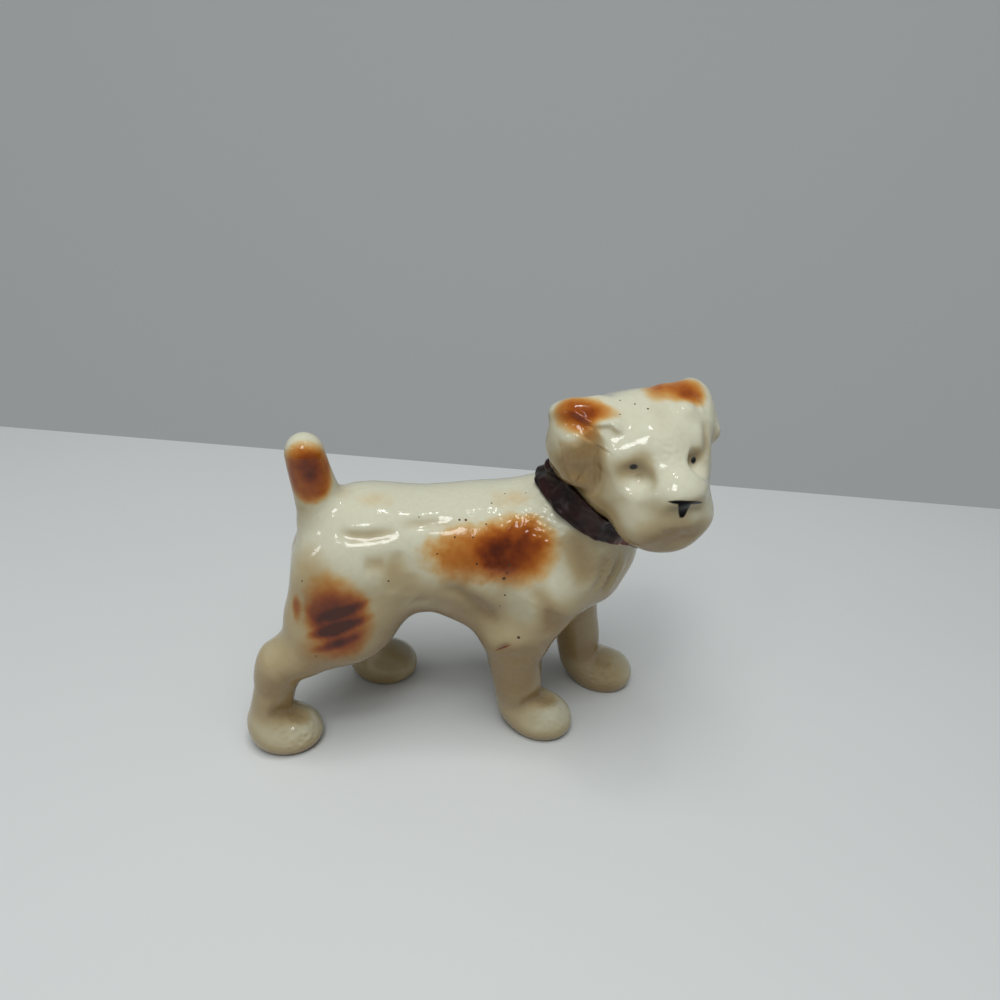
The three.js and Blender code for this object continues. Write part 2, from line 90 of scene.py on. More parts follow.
# Legs: thigh, forms, the paw's middle and turn, and the joint's height and lean
LEGS = {
    "right_hind_leg": {
        "thigh": (-30, -9, 44.5),
        "forms": [
            ((-31, -10, 36.5), (-46.6, -10.5, 26.6), (8.6, 6.2), 6),
            ((-48.6, -10.6, 20), (-50.8, -10.9, 8), (5.2, 5.4), 5),
            ((-38, -8.5, 38.5), (7, 7, 9), 5),
        ],
        "paw": (-46.9, -11.2), "turn": 4, "joint": 31.2, "lean": 24.4,
    },
    "left_hind_leg": {
        "thigh": (-25, 9.5, 44.5),
        "forms": [
            ((-19, 11, 35), (-26, 12.5, 24), (8.5, 6), 6),
            ((-26.5, 12.5, 24), (-25.5, 13.5, 8), (5.8, 5.2), 4),
        ],
        "paw": (-21, 13.3), "turn": 4, "joint": 30.4, "lean": 21.8,
    },
    "right_fore_leg": {
        "forms": [
            ((19, -10.5, 48), (14, -10.5, 35), (10, 8), 4),
            ((11.7, -9.7, 33), (15.4, -8.6, 9), (7.8, 6.2), 4),
            ((-1, -7, 43), (8, -9.5, 37), (5, 5.5), 6),
        ],
        "paw": (21, -10.2), "turn": 27, "joint": 33.6, "lean": 0,
    },
    "left_fore_leg": {
        "forms": [
            ((30.6, 9.5, 48), (30.6, 9, 34), (8.2, 7), 4),
            ((31, 9, 34), (36, 8, 9), (6.8, 6), 4),
        ],
        "paw": (42.6, 6.8), "turn": 24, "joint": 33.6, "lean": 0,
    },
}
# Fillet of a leg on the body, how far its cut passes the middle, and the sizes of thigh and paw
LEG_FILLET = 5
LEG_SPARE = 0.05
THIGH_RADII = (12.8, 8.5, 16.3)
THIGH_LEAN = 20
PAW_RADII = (9.5, 7.4, 6.7)
PAW_MIDDLE = 3.8
PAW_FILLET = 4
# The right front paw's middle in the figure's frame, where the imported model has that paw's mount
RIGHT_FORE_SOLE = (20, -9.2, 0)

# Head: its middle, its turn, lift and tilt in degrees, and how far it reaches
HEAD_AT = (36.8, -9.2, 86.3)
HEAD_TURN = -81
HEAD_LIFT = 8
HEAD_TILT = 8.5
HEAD_REACH = 28
HEAD_FILLET = 3


def both(*forms):
    """Eggs mirrored to the head's right, and then the same ones on its left."""
    return [((x, side * y, z), *rest) for side in (-1, 1) for (x, y, z), *rest in forms]


# Forms of the head in its own directions, forward, to its left and up: skull, cheeks and brows, forehead,
# bridge, muzzle, nose, the hollow under it, jowls, chin and eye sockets
HEAD = [
    ((-4.5, 0, 0.8), (14.5, 15, 11.2), 0),
    *both(((2.8, 6.7, -4.8), (10, 7.8, 10), 7), ((6.4, 7.2, 3.4), (4, 5.4, 3.4), 6)),
    ((-1, 0, 8.6), (5.5, 12, 4), 4),
    ((5, 0, 4.5), (6.5, 6, 6), 4),
    ((7.5, 0.3, 0.4), (15.6, 0.8, -3.4), (5, 4), 7),
    ((12, 0, -8.4), (8.4, 8.7, 7), 6),
    ((14.6, 0.8, -3.9), (6.6, 6.6, 3.4), 3),
    ((24.6, 0.8, -8), (4, 7, 2.6), -3),
    *both(((11.5, 5.4, -12), (6.8, 5.8, 5.2), 3.5)),
    ((9.5, 0.8, -16.7), (7, 6.6, 4.4), 5),
    *both(((14.6, 7.4, -0.4), (2.4, 2.6, 1.8), -3)),
]

# Ears: a flap folded between four corners, back, front, tip and heel, on a root, with a swelling where it
# hangs. Both are given as if on the left. -1 is the right ear, which is folded lower.
EARS = {
    -1: {
        "corners": [(-6.2, 16.2, 10), (5.4, 8.4, 8.8), (3, 16.4, -2.4), (-9, 16.4, -4)],
        "root": ((-2, 9, 9.8), (-2.7, 14, 10.7), (4.2, 3.6), 3),
        "swell": (-1, 16.2, 3),
    },
    1: {
        "corners": [(-4.8, 15.8, 9.8), (5.4, 8.4, 8.6), (2.6, 16.4, 1.7), (-8, 15.6, -1)],
        "root": ((-2, 9, 8.8), (-1.6, 13.8, 9.5), (4.2, 3.7), 3),
        "swell": (-1, 15.6, 4.5),
    },
}
EAR_THICKNESS = 4.6
EAR_FOLD_FILLET = 1
SWELL_RADII = (7.5, 3.6, 6.5)
SWELL_TURN = 20
SWELL_FILLET = 2
EAR_FILLET = 2.5
EAR_SOCKET = 1


def column(values):
    """A point or a set of radii as a column, to go with arrays of points."""
    return np.asarray(values, np.float32)[:, None]


def length(v):
    """Length of each column."""
    return np.sqrt((v * v).sum(0))


def soft_least(a, b, softness):
    """Least of two distances, less (softness - |a - b|)^2 / (4 softness) where they are that close."""
    overlap = np.maximum(softness - np.abs(a - b), 0)
    return np.minimum(a, b) - overlap * overlap / (4 * softness)


def soft_most(a, b, softness):
    """Greatest of two distances, with the same fillet."""
    return -soft_least(-a, -b, softness)


def egg(p, at, radii, lean=0, turn=0):
    """Ellipsoid: with near = |q / radii|, the distance is near (near - 1) / |q / radii^2|.

    q is the point seen from the middle, turned about the vertical and leaned along the body.
    """
    dx, dy, dz = p - column(at)
    lean, turn = math.radians(lean), math.radians(turn)
    x1 = dx * math.cos(turn) - dy * math.sin(turn)
    y = dx * math.sin(turn) + dy * math.cos(turn)
    x = x1 * math.cos(lean) + dz * math.sin(lean)
    z = dz * math.cos(lean) - x1 * math.sin(lean)
    a, b, c = radii
    near = np.sqrt((x / a) ** 2 + (y / b) ** 2 + (z / c) ** 2) + 1e-6
    steep = np.sqrt((x / a ** 2) ** 2 + (y / b ** 2) ** 2 + (z / c ** 2) ** 2) + 1e-9
    return near * (near - 1) / steep


def bone(p, start, end, radii):
    """Tapered rod: distance to its axis, less a radius that runs evenly from one end's to the other's."""
    along = column(end) - column(start)
    q = p - column(start)
    t = np.clip((q * along).sum(0) / max((along * along).sum(), 1e-9), 0, 1)
    return length(q - along * t) - (radii[0] + (radii[1] - radii[0]) * t)


def flap(p, corners, thickness):
    """Flat triangle with round edges: distance to the nearest of its face, which lies inside all three
    sides, and its sides, less half the thickness."""
    corners = [column(corner) for corner in corners]
    sides = [corners[(n + 1) % 3] - corners[n] for n in range(3)]
    normal = np.cross(sides[0], sides[1], axis=0)
    inside = np.ones(p.shape[1], bool)
    edge = np.full(p.shape[1], np.inf, np.float32)
    for corner, side in zip(corners, sides):
        q = p - corner
        inside &= (q * np.cross(side, normal, axis=0)).sum(0) < 0
        t = np.clip((q * side).sum(0) / (side * side).sum(), 0, 1)
        edge = np.minimum(edge, length(q - side * t))
    face = np.abs(((p - corners[0]) * normal).sum(0)) / np.sqrt((normal * normal).sum())
    return np.where(inside, face, edge) - thickness / 2


def joined(p, forms, d=None):
    """A list of forms, joined in turn to each other or to a distance."""
    for *form, fillet in forms:
        made = egg(p, *form) if len(form) == 2 else bone(p, *form)
        if d is None:
            d = made
        elif fillet < 0:
            d = soft_most(d, -made, -fillet)
        else:
            d = soft_least(d, made, fillet)
    return d


def axes(turn, lift, roll):
    """Forward, left and up, in radians: turned about Z from X, lifted, then rolled about forward."""
    forward = np.array([math.cos(turn) * math.cos(lift), math.sin(turn) * math.cos(lift), math.sin(lift)])
    level = np.array([-math.sin(turn), math.cos(turn), 0])
    left = level * math.cos(roll) + np.cross(forward, level) * math.sin(roll)
    return forward, left, np.cross(forward, left)


HEAD_AXES = np.stack(axes(*map(math.radians, (HEAD_TURN, HEAD_LIFT, HEAD_TILT))), 1).astype(np.float32)


def on_head(p):
    """Points in the head's own directions."""
    return HEAD_AXES.T @ (p - column(HEAD_AT))


def leg_form(p, leg):
    """A thigh on a hind leg, the leg's forms and a paw."""
    d = egg(p, leg["thigh"], THIGH_RADII, THIGH_LEAN) if "thigh" in leg else None
    paw = egg(p, (*leg["paw"], PAW_MIDDLE), PAW_RADII, 0, leg["turn"])
    return soft_least(joined(p, leg["forms"], d), paw, PAW_FILLET)


def ear_form(p, side):
    """A flap folded over from its root, with the swelling of its hanging half."""
    q = on_head(p) * column((1, side, 1))
    back, front, tip, heel = EARS[side]["corners"]
    d = flap(q, (back, front, tip), EAR_THICKNESS)
    d = soft_least(d, flap(q, (back, tip, heel), EAR_THICKNESS), EAR_FOLD_FILLET)
    d = joined(q, [EARS[side]["root"]], d)
    return soft_least(d, egg(q, EARS[side]["swell"], SWELL_RADII, 0, SWELL_TURN), SWELL_FILLET)


def figure(p):
    """The whole dog, without its collar."""
    d = joined(p, [*BARRELS, NECK, BREAST, TAIL])
    for leg in LEGS.values():
        d = soft_least(d, leg_form(p, leg), LEG_FILLET)
    head = joined(on_head(p), HEAD)
    for side in (-1, 1):
        head = soft_least(head, ear_form(p, side), EAR_FILLET)
    return soft_least(d, head, HEAD_FILLET)


def vented_figure(p):
    """The dog with its belly vent drilled and its soles ground flat on the table."""
    x, y, z = p
    drill = np.hypot(x - VENT_AT[0], y - VENT_AT[1]) - VENT_RADIUS
    drill = np.maximum(drill, np.abs(z - VENT_TOP / 2) - VENT_TOP / 2)
    return soft_most(soft_most(figure(p), -drill, VENT_EDGE), -z, SOLE_EDGE)


# The field is worked out in blocks of lattice nodes, and only in those that the surface may cross
BLOCK = 4
BLOCK_REACH = 1.7
SLIVER = 1e-3
PINCH_PASSES = 8
SETTLE_STEPS = 2
FLATTEST = 0.25
NUDGE = 0.02
CORNERS = np.array([(n & 1, (n >> 1) & 1, (n >> 2) & 1) for n in range(8)])


def sample(form, low, blocks, facet):
    """Values of a form on a lattice. A block whose middle lies far from the surface takes that value."""
    middles = [low[k] + (np.arange(blocks[k]) + 0.5 - 0.5 / BLOCK) * BLOCK * facet for k in range(3)]
    middle = np.stack(np.meshgrid(*middles, indexing="ij")).astype(np.float32)
    value = form(middle.reshape(3, -1)).reshape(blocks)
    values = value.repeat(BLOCK, 0).repeat(BLOCK, 1).repeat(BLOCK, 2)
    start = np.argwhere(np.abs(value) < BLOCK_REACH * BLOCK * facet) * BLOCK
    steps = np.indices((BLOCK, BLOCK, BLOCK)).reshape(3, 1, -1)
    nodes = (start.T[:, :, None] + steps).reshape(3, -1)
    values[tuple(nodes)] = form((column(low) + nodes * np.float32(facet)).astype(np.float32))
    for axis in range(3):
        rim = np.moveaxis(values, axis, 0)
        rim[0] = rim[-1] = facet
    return values


def fill_pinches(values):
    """Fills the outer corners of a lattice square whose inside corners only face each other across it."""
    for _ in range(PINCH_PASSES):
        found = False
        for axis in range(3):
            v = np.moveaxis(values, axis, 0)
            square = [v[:, :-1, :-1], v[:, 1:, :-1], v[:, 1:, 1:], v[:, :-1, 1:]]
            a, b, c, d = (corner < 0 for corner in square)
            pinched = (a == c) & (b == d) & (a != b)
            found |= pinched.any()
            square[0][pinched & ~a] = -SLIVER
            square[1][pinched & ~b] = -SLIVER
        if not found:
            return


def slope(form, p):
    """Slope of a form at points, from differences over a small step each way."""
    steps = np.eye(3, dtype=np.float32)[:, :, None] * np.float32(NUDGE)
    return np.stack([(form(p + step) - form(p - step)) / (2 * NUDGE) for step in steps])


def cast(form, low, high, facet):
    """Draws the skin of a form as points (3, n) and triangles (m, 3).

    One point goes in each lattice cell that the surface crosses, at the mean of the crossings on its
    edges. It is then moved along the slope onto the surface, by a facet at most in a step, so that the
    lids where the box cuts the form stay in place. Each lattice edge that the surface crosses gives one
    square between its four cells, split along its shorter diagonal.
    """
    low = np.floor(np.asarray(low) / facet) * facet
    values = sample(form, low, np.ceil((np.asarray(high) - low) / (facet * BLOCK)).astype(int), facet)
    fill_pinches(values)
    inside = values < 0
    cells = [n - 1 for n in values.shape]
    count = np.zeros(cells, np.int8)
    for corner in CORNERS:
        count += inside[tuple(slice(c, c + n) for c, n in zip(corner, cells))]
    crossed = (count > 0) & (count < 8)
    cell = np.argwhere(crossed)
    number = np.full(cells, -1, np.int32)
    number[crossed] = np.arange(len(cell))
    at_corner = [values[tuple((cell + corner).T)] for corner in CORNERS]
    total = np.zeros((3, len(cell)))
    crossings = np.zeros(len(cell))
    for n, corner in enumerate(CORNERS):
        for axis in np.flatnonzero(corner == 0):
            a, b = at_corner[n], at_corner[n + (1 << axis)]
            cross = (a < 0) != (b < 0)
            total += cross * corner[:, None]
            total[axis] += np.where(cross, a / np.where(cross, a - b, 1), 0)
            crossings += cross
    points = (column(low) + (cell.T + total / crossings) * facet).astype(np.float32)
    for _ in range(SETTLE_STEPS):
        steep = slope(form, points)
        back = form(points) / np.maximum((steep * steep).sum(0), FLATTEST)
        points -= steep * np.clip(back, -facet, facet)

    squares = []
    unit = np.eye(3, dtype=int)
    for axis in range(3):
        near, far = np.moveaxis(inside, axis, 0)[:-1], np.moveaxis(inside, axis, 0)[1:]
        edges = np.argwhere(near != far)
        node = np.empty_like(edges)
        node[:, [axis, *(k for k in range(3) if k != axis)]] = edges
        u, v = unit[(axis + 1) % 3], unit[(axis + 2) % 3]
        ring = [number[tuple((node - corner).T)] for corner in (u + v, v, 0 * u, u)]
        ring = np.stack(ring, 1)
        outward = near[near != far]
        ring[~outward] = ring[~outward][:, ::-1]
        squares.append(ring)
    squares = np.concatenate(squares)
    p, q, r, s = (points[:, squares[:, k]] for k in range(4))
    short = (length(p - r) <= length(q - s))[:, None]
    first = np.where(short, squares[:, [0, 1, 2]], squares[:, [1, 2, 3]])
    second = np.where(short, squares[:, [0, 2, 3]], squares[:, [1, 3, 0]])
    return points, np.concatenate([first, second])


def normals_of(points, faces):
    """Normals at points: the sum of the cross products of the triangles round each, made of length one."""
    a, b, c = (points[:, faces[:, k]] for k in range(3))
    normals = np.stack([
        sum(np.bincount(faces[:, k], row, points.shape[1]) for k in range(3))
        for row in np.cross(b - a, c - a, axis=0)
    ])
    return (normals / np.maximum(length(normals), 1e-12)).astype(np.float32)


def below(table, faces, d):
    """The part of a skin where d is less than zero, closed where it is cut.

    A triangle that the cut crosses is turned so that its odd corner comes first, and new points are put
    where d is zero on its sides. The rim's loops are told apart by passing the least point number
    along them, and each is closed by a fan to its mean.
    """
    count = (d[faces] < 0).sum(1)
    split = faces[(count == 1) | (count == 2)]
    one = (d[split] < 0).sum(1) == 1
    odd = np.argmax((d[split] < 0) == one[:, None], 1)
    a, b, c = (split[np.arange(len(split)), (odd + k) % 3] for k in range(3))
    sides = np.sort(np.concatenate([np.stack([a, b], 1), np.stack([a, c], 1)]), 1)
    sides, which = np.unique(sides, axis=0, return_inverse=True)
    ab, ac = which.reshape(2, -1) + len(table)
    d0, d1 = d[sides[:, 0]], d[sides[:, 1]]
    t = (d0 / (d0 - d1))[:, None]
    table = np.concatenate([table, table[sides[:, 0]] * (1 - t) + table[sides[:, 1]] * t])
    rim_from = np.where(one, ac, ab)
    rim_to = np.where(one, ab, ac)
    after = np.arange(len(table))
    loop = after.copy()
    after[rim_from] = rim_to
    while True:
        least = np.minimum(loop, loop[after])
        after = after[after]
        if (least == loop).all():
            break
        loop = least
    of_loop = np.unique(loop[rim_from], return_inverse=True)[1].reshape(-1)
    middles = [np.bincount(of_loop, col) / np.bincount(of_loop) for col in table[rim_from].T]
    faces = np.concatenate([
        faces[count == 3],
        np.stack([a, ab, ac], 1)[one],
        np.stack([b, c, ac], 1)[~one],
        np.stack([b, ac, ab], 1)[~one],
        np.stack([rim_from, rim_to, len(table) + of_loop], 1),
    ])
    table = np.concatenate([table, np.stack(middles, 1)])
    used, faces = np.unique(faces, return_inverse=True)
    return table[used].astype(np.float32), faces.reshape(-1, 3)


def cut(skin, distance):
    """Parts a skin where a distance is zero: the part below zero, and the rest."""
    table, faces = skin
    d = distance(table[:, :3].T)
    d = np.where(np.abs(d) < SLIVER, SLIVER, d)
    return below(table, faces, d), below(table, faces, -d)

# Modelling strokes: a line on the surface, its width, and its height, less than zero for a groove
STROKES = [
    # The saddle's edge along the flank, a dent under it and the folds before the thigh
    ([(-33, -10, 65), (-28.4, -11.5, 64.6), (-24.3, -11.8, 64.6), (-20, -11.3, 65), (-17, -10, 66)],
     3.2, -0.6),
    ([(-18.5, -10.5, 65.6), (-14.5, -9.4, 66.2), (-9.3, -9, 66.5), (-3, -9.4, 66.7)], 2.8, -0.5),
    ([(-31, -9.4, 66), (-25.4, -10.2, 66.4), (-20.9, -9.4, 67)], 3, 0.25),
    ([(-17.9, -7.9, 67.8), (-13, -7.4, 67.9), (-8, -7, 67.9)], 3.4, 0.25),
    ([(-26.5, -14.6, 58.6), (-20.5, -14.8, 58.6)], 4, -0.45),
    ([(-18.2, -13.6, 62.5), (-18.6, -15.3, 57.5), (-18.9, -15.8, 51)], 4.6, -0.4),
    ([(-15, -15.4, 57), (-15.6, -15.8, 50)], 3.6, -0.2),
    ([(-14.5, -15.4, 48.4), (-11, -15, 46.2)], 4.4, -0.35),
    # The shoulder's edge on the ribs, and the V between the arm and the breast
    ([(-9.5, -15.5, 53), (-3.8, -15.8, 51.4), (0.6, -15.8, 48), (3.6, -15.6, 44), (6, -16, 39)],
     4.4, -0.8),
    ([(-2, -15.8, 53.6), (3, -16.5, 51), (7, -17, 46)], 6, 0.3),
    ([(13, -18.6, 55), (17, -20, 49), (19.4, -20, 43), (18.6, -19, 38)], 5, -0.9),
    ([(20, -13.8, 67), (24, -15.5, 62), (26.5, -16, 56.5), (27.5, -16.8, 52)], 6.5, -1.1),
    ([(5.5, -17, 33), (11, -19, 31.6), (17.5, -18.6, 33.6)], 6.5, -0.8),
    ([(6.3, -17, 32.8), (9.4, -18.4, 36.8)], 1.2, -0.3),
    # Fur on the breast
    ([(30, -15, 61), (31.6, -14.2, 57.5), (31, -15, 53), (29, -16, 50)], 2.4, -0.4),
    ([(33, -13.3, 61), (34, -12.9, 57), (32.6, -13.9, 51.5), (30.6, -15, 48.5)], 2, 0.4),
    ([(35.1, -12.1, 60), (35.1, -12.3, 55.6), (33.4, -13.3, 51), (31.4, -14, 47.5)], 2.4, -0.5),
    ([(36.8, -10.8, 59.5), (37, -10.9, 55), (35.4, -11.8, 50.5), (33.4, -12.6, 47)], 2, 0.4),
    # Paws: the hollow behind the toes and their swelling
    ([(-51, -16.4, 14), (-46.5, -15.6, 13.4), (-42.9, -13.4, 11.2), (-39, -11, 9.2)], 5.4, -1.5),
    ([(-46.5, -16.6, 9.4), (-42, -15.4, 8.6), (-38.8, -14, 6.6)], 5, 0.5),
    ([(13.6, -15.6, 13.8), (20, -14, 13), (26, -8, 9.6)], 4.6, -1.3),
    ([(17, -16.2, 10.4), (22, -14.6, 9.7), (26.4, -13.4, 8)], 5, 0.5),
    ([(39, 2, 10.8), (44.6, 1.6, 9.6)], 3.2, -0.5),
    ([(41, 0.6, 7.6), (46, 2.3, 8)], 4, 0.4),
    # Right ear: the channel before the flap, the flap's lip, and the two edges of the fold
    ([(25, -16, 94), (23.4, -16.4, 91.8), (22.3, -17.5, 89), (22.4, -18, 86.3), (20.8, -17.4, 77)],
     6.4, -2.3),
    ([(20.2, -15.9, 91), (19.6, -16.6, 88), (19.2, -16.8, 84)], 2.4, 0.35),
    ([(18.5, -9.5, 96.5), (20.9, -11.4, 96), (24, -14.4, 94.6)], 1.4, 0.5),
    ([(23.4, -13.9, 94.3), (25, -15.1, 95.2), (27.1, -16.4, 96.1), (29.6, -18.2, 94.4)], 1.4, 0.55),
    ([(23.4, -14, 94.1), (22.1, -14.9, 92.4)], 1.5, 0.3),
    # Left ear: the hollow under the flap and the fold's edge
    ([(49.8, -14, 97), (49, -17, 92.5), (48.4, -18.6, 88.5)], 3.4, -0.6),
    ([(46.7, -8, 100), (48, -9.8, 98.5), (49.1, -12.5, 96.3)], 1.7, 0.35),
    # The forehead's middle, the sockets, the corner under the near eye and the mouth
    ([(38, -9.5, 99.3), (38, -17, 97.4), (38.3, -21, 94.8)], 4.6, -0.3),
    ([(27, -21, 86.6), (30.2, -22.2, 88.3), (32, -22.5, 89.7), (36, -23, 91.4)], 4.4, -0.6),
    ([(32.6, -22.1, 87), (33.8, -22.9, 85)], 2, -0.25),
    ([(43.5, -21.3, 92.4), (45.7, -19.6, 89.6), (46.9, -19.6, 87.4)], 3.6, -0.4),
    ([(37.6, -30.1, 76.2), (38.5, -30.1, 76.7), (41, -30, 77.9)], 2, -0.2),
    ([(48.4, -26.5, 76.4), (46.4, -28, 75.4), (44.3, -28.4, 75), (41.4, -29, 75.6)], 3, -0.25),
    # The notches at the tail's root
    ([(-43, -5, 59), (-43.6, 0, 58), (-43, 5, 59)], 6, -0.9),
    ([(-31.5, -4, 68), (-30.5, 0, 69.6), (-31.5, 4, 68)], 4, -0.5),
]

# Painted shade along lines on the surface: a line, its width, and how much deeper the glaze is made there
# to darken it, painted light where negative. They shade the muzzle's front, the near ear, the legs, flank,
# rump and breast, and lighten the shoulder and the lower flank.
SHADE_AND_LIGHT_LINES = [
    ([(33.5, -29.5, 73), (38, -30, 76), (45, -28.4, 78)], 9, 0.45),
    ([(45, -28.4, 80), (46, -27, 72)], 5, 0.35),
    ([(14, -13, 86), (17, -15.5, 84), (18, -17, 88), (18.6, -16, 92)], 8, 0.95),
    ([(10, -16, 34), (13, -17, 22), (14, -16, 16)], 9, 0.45),
    ([(-30, -8, 60), (-18, -15, 56), (-12, -15.6, 50)], 7, 0.15),
    ([(-39.8, -6, 62), (-38, -14, 55.8), (-38.8, -15.5, 48.2), (-42, -15, 39)], 10, 0.4),
    ([(31, -14.5, 62), (33.5, -13.3, 55.1), (33, -13, 47)], 8, 0.25),
    ([(6, -16, 50.5), (11.1, -17.9, 47.1), (17.5, -20, 45)], 9, -0.3),
    ([(-18, -15, 48.5), (-11.4, -13.8, 46.1), (-4, -13, 43)], 6, -0.35),
    ([(-24, 6, 13), (-16, 5, 3)], 14, 0.5),
    ([(35, 3, 19), (42.3, 0.8, 7.9), (49, -1, 4)], 13, 0.4),
]

# Stippled patches of fur: middle, reach and height
STIPPLE = [
    ((12, -7, 70), 7, 0.07),
    ((17, -12, 66), 5, 0.06),
    ((39, -23, 92.5), 3.5, 0.05),
    ((-43, -16, 7), 5, 0.08),
    ((23, -15, 9), 4, 0.07),
    ((33, -13, 55), 6, 0.06),
    ((42, 2, 8), 5, 0.08),
]
STIPPLE_SIZE = 1.5

# Depth of the glaze in hollows and grooves, partly glaze that pools there and partly painted shade; painted
# shade on faces that look down; and how far a hollow is felt
HOLLOW_POOLING_AND_SHADE = 0.35
DOWNWARD_SHADE = 1.6
GROOVE_POOLING_AND_SHADE = 0.35
POOL_REACH = 2.5

# Uneven clay: size of its waves and of its fur, and the height where they are whole above the soles
RIPPLE_SIZE = 11
RIPPLE_WAVES = 14
RIPPLE_SEED = 4
FUR_SIZE = 2.6
FUR_SHARE = 0.1
SOLE_FADE = 3


def waves(p, size, seed):
    """Smooth unevenness about one either way: a mean of sine waves in directions drawn from a seed."""
    draw = np.random.default_rng(seed)
    ways = draw.normal(size=(RIPPLE_WAVES, 3))
    ways *= 2 * math.pi / size / np.linalg.norm(ways, axis=1, keepdims=True)
    phases = draw.uniform(0, 2 * math.pi, RIPPLE_WAVES)
    total = sum(np.sin(way @ p + phase) for way, phase in zip(ways, phases))
    return (total * math.sqrt(2 / RIPPLE_WAVES)).astype(np.float32)


def stroke_height(p, line, width):
    """Share of a stroke's height at points: exp(-(distance to its line / half its width)^2), tapered
    at both ends of the line by (1 - (2 share of the way - 1)^4)^2. A single point isn't tapered."""
    nearest = np.full(p.shape[1], np.inf, np.float32)
    taper = np.ones(p.shape[1], np.float32)
    steps = [math.dist(start, end) for start, end in zip(line, line[1:])]
    gone = 0
    for start, end, step in zip(line, line[1:], steps):
        along = column(end) - column(start)
        q = p - column(start)
        t = np.clip((q * along).sum(0) / max(step * step, 1e-9), 0, 1)
        far = length(q - along * t)
        if sum(steps):
            share = (gone + t * step) / sum(steps)
            taper = np.where(far < nearest, (1 - (2 * share - 1) ** 4) ** 2, taper)
        nearest = np.minimum(nearest, far)
        gone += step
    return taper * np.exp(-(nearest / (width / 2)) ** 2)


def worked_skin(form, low, high, facet, relief, ripple):
    """A cast skin with its strokes and ripples: a table of place, normal and glaze depth with painted
    shade, and triangles.

    The glaze is deep in the hollows and grooves, partly where it pools and partly as painted shade. On
    faces that look down and along the shade lines the depth is painted shade, and a line with a negative
    amount paints light.
    """
    points, faces = cast(form, low, high, facet)
    normals = normals_of(points, faces)
    height = ripple * waves(points, RIPPLE_SIZE, RIPPLE_SEED)
    height += FUR_SHARE * ripple * waves(points, FUR_SIZE, RIPPLE_SEED + 1)
    grooved = np.zeros_like(height)
    for line, width, depth in STROKES:
        share = stroke_height(points, line, width)
        height += relief * depth * share
        grooved += max(-depth, 0) * share
    fur = waves(points, STIPPLE_SIZE, RIPPLE_SEED + 2)
    for middle, reach, depth in STIPPLE:
        height += relief * depth * fur * stroke_height(points, [middle, middle], 2 * reach)
    points = points + normals * height * np.clip(points[2] / SOLE_FADE, 0, 1)
    normals = normals_of(points, faces)
    # Painted shade in the glaze depth: hollows and grooves (partly real pooling), faces that look down, and
    # the listed shade lines
    pooling_and_shade = HOLLOW_POOLING_AND_SHADE * np.maximum(1 - form(points + normals * POOL_REACH) / POOL_REACH, 0)
    pooling_and_shade += DOWNWARD_SHADE * ((1 - normals[2]) / 2) ** 2 + GROOVE_POOLING_AND_SHADE * grooved
    # Painted shade along the listed lines, and painted light where the amount is negative
    for line, width, darker in SHADE_AND_LIGHT_LINES:
        pooling_and_shade += darker * stroke_height(points, line, width)
    return np.concatenate([points, normals, pooling_and_shade[None]]).T, faces


# Collar: its middle, the way it faces and its section, which stands on the clay's own radius
COLLAR_AT = (30, -2.5, 68.2)
COLLAR_FACING = (0.535, -0.03, 0.844)
COLLAR_HALF_WIDTH = 3.5
COLLAR_THICKNESS = 1.5
COLLAR_SUNK = 1.2
COLLAR_SQUARE = 0.55
COLLAR_ROUND = 420
COLLAR_ACROSS = 64
# How the neck's radius is found: its start, least and most, the share of each step and their number
NECK_START = 6
NECK_LEAST = 4
NECK_MOST = 15.4
NECK_STEP = 0.8
NECK_STEPS = 24
# The collar's thin end under the chin, how far its thin paint reaches, and how slim the band is there
COLLAR_END = (36, -12, 62)
COLLAR_END_RADII = (9, 7, 10)
COLLAR_SLIM = 0.5
COLLAR_SLIM_REACH = 9
# Its lumps and its brush marks: sizes and seeds, the marks' share, and the rounds of marks in a radian
LUMP_SIZE = 5.5
LUMP_SEED = 11
MARK_SIZE = 1.6
MARK_SEED = 12
MARK_SHARE = 0.4
MARK_ROUNDS = 9
LUMPS_ABOVE = -0.2
OUTER_ABOVE = 0.9

# The box that the body's skin is cast in
BODY_LOW = (-60, -27, -4)
BODY_HIGH = (62, 30, 92)


def facing_from(point, facing):
    """A distance that is less than zero on the side of a plane that it faces."""
    facing = np.asarray(facing, float) / np.linalg.norm(facing)
    start = np.asarray(point, float)
    return lambda p: -(facing[:, None] * (p - start[:, None])).sum(0)


def tail_side(p):
    """Less than zero above the tail's joint."""
    start, end = np.array(TAIL[0]), np.array(TAIL[1])
    lean = math.radians(TAIL_JOINT_LEAN)
    above = facing_from(start + TAIL_JOINT * (end - start), (-math.sin(lean), 0, math.cos(lean)))(p)
    return np.maximum(above, p[0] - start[0] - TAIL_REACH)


def leg_side(leg):
    """A distance that is less than zero under a leg's joint, on the leg's own side of the middle."""
    start, end = np.array(leg["forms"][0][:2], float)
    seat = start + (end - start) * (start[2] - leg["joint"]) / (start[2] - end[2])
    lean = math.radians(leg["lean"])
    under = facing_from(seat, (-math.sin(lean), 0, -math.cos(lean)))
    front, side, _ = np.sign(seat)
    return lambda p: np.maximum(np.maximum(under(p), -side * p[1] - LEG_SPARE), -front * p[0])


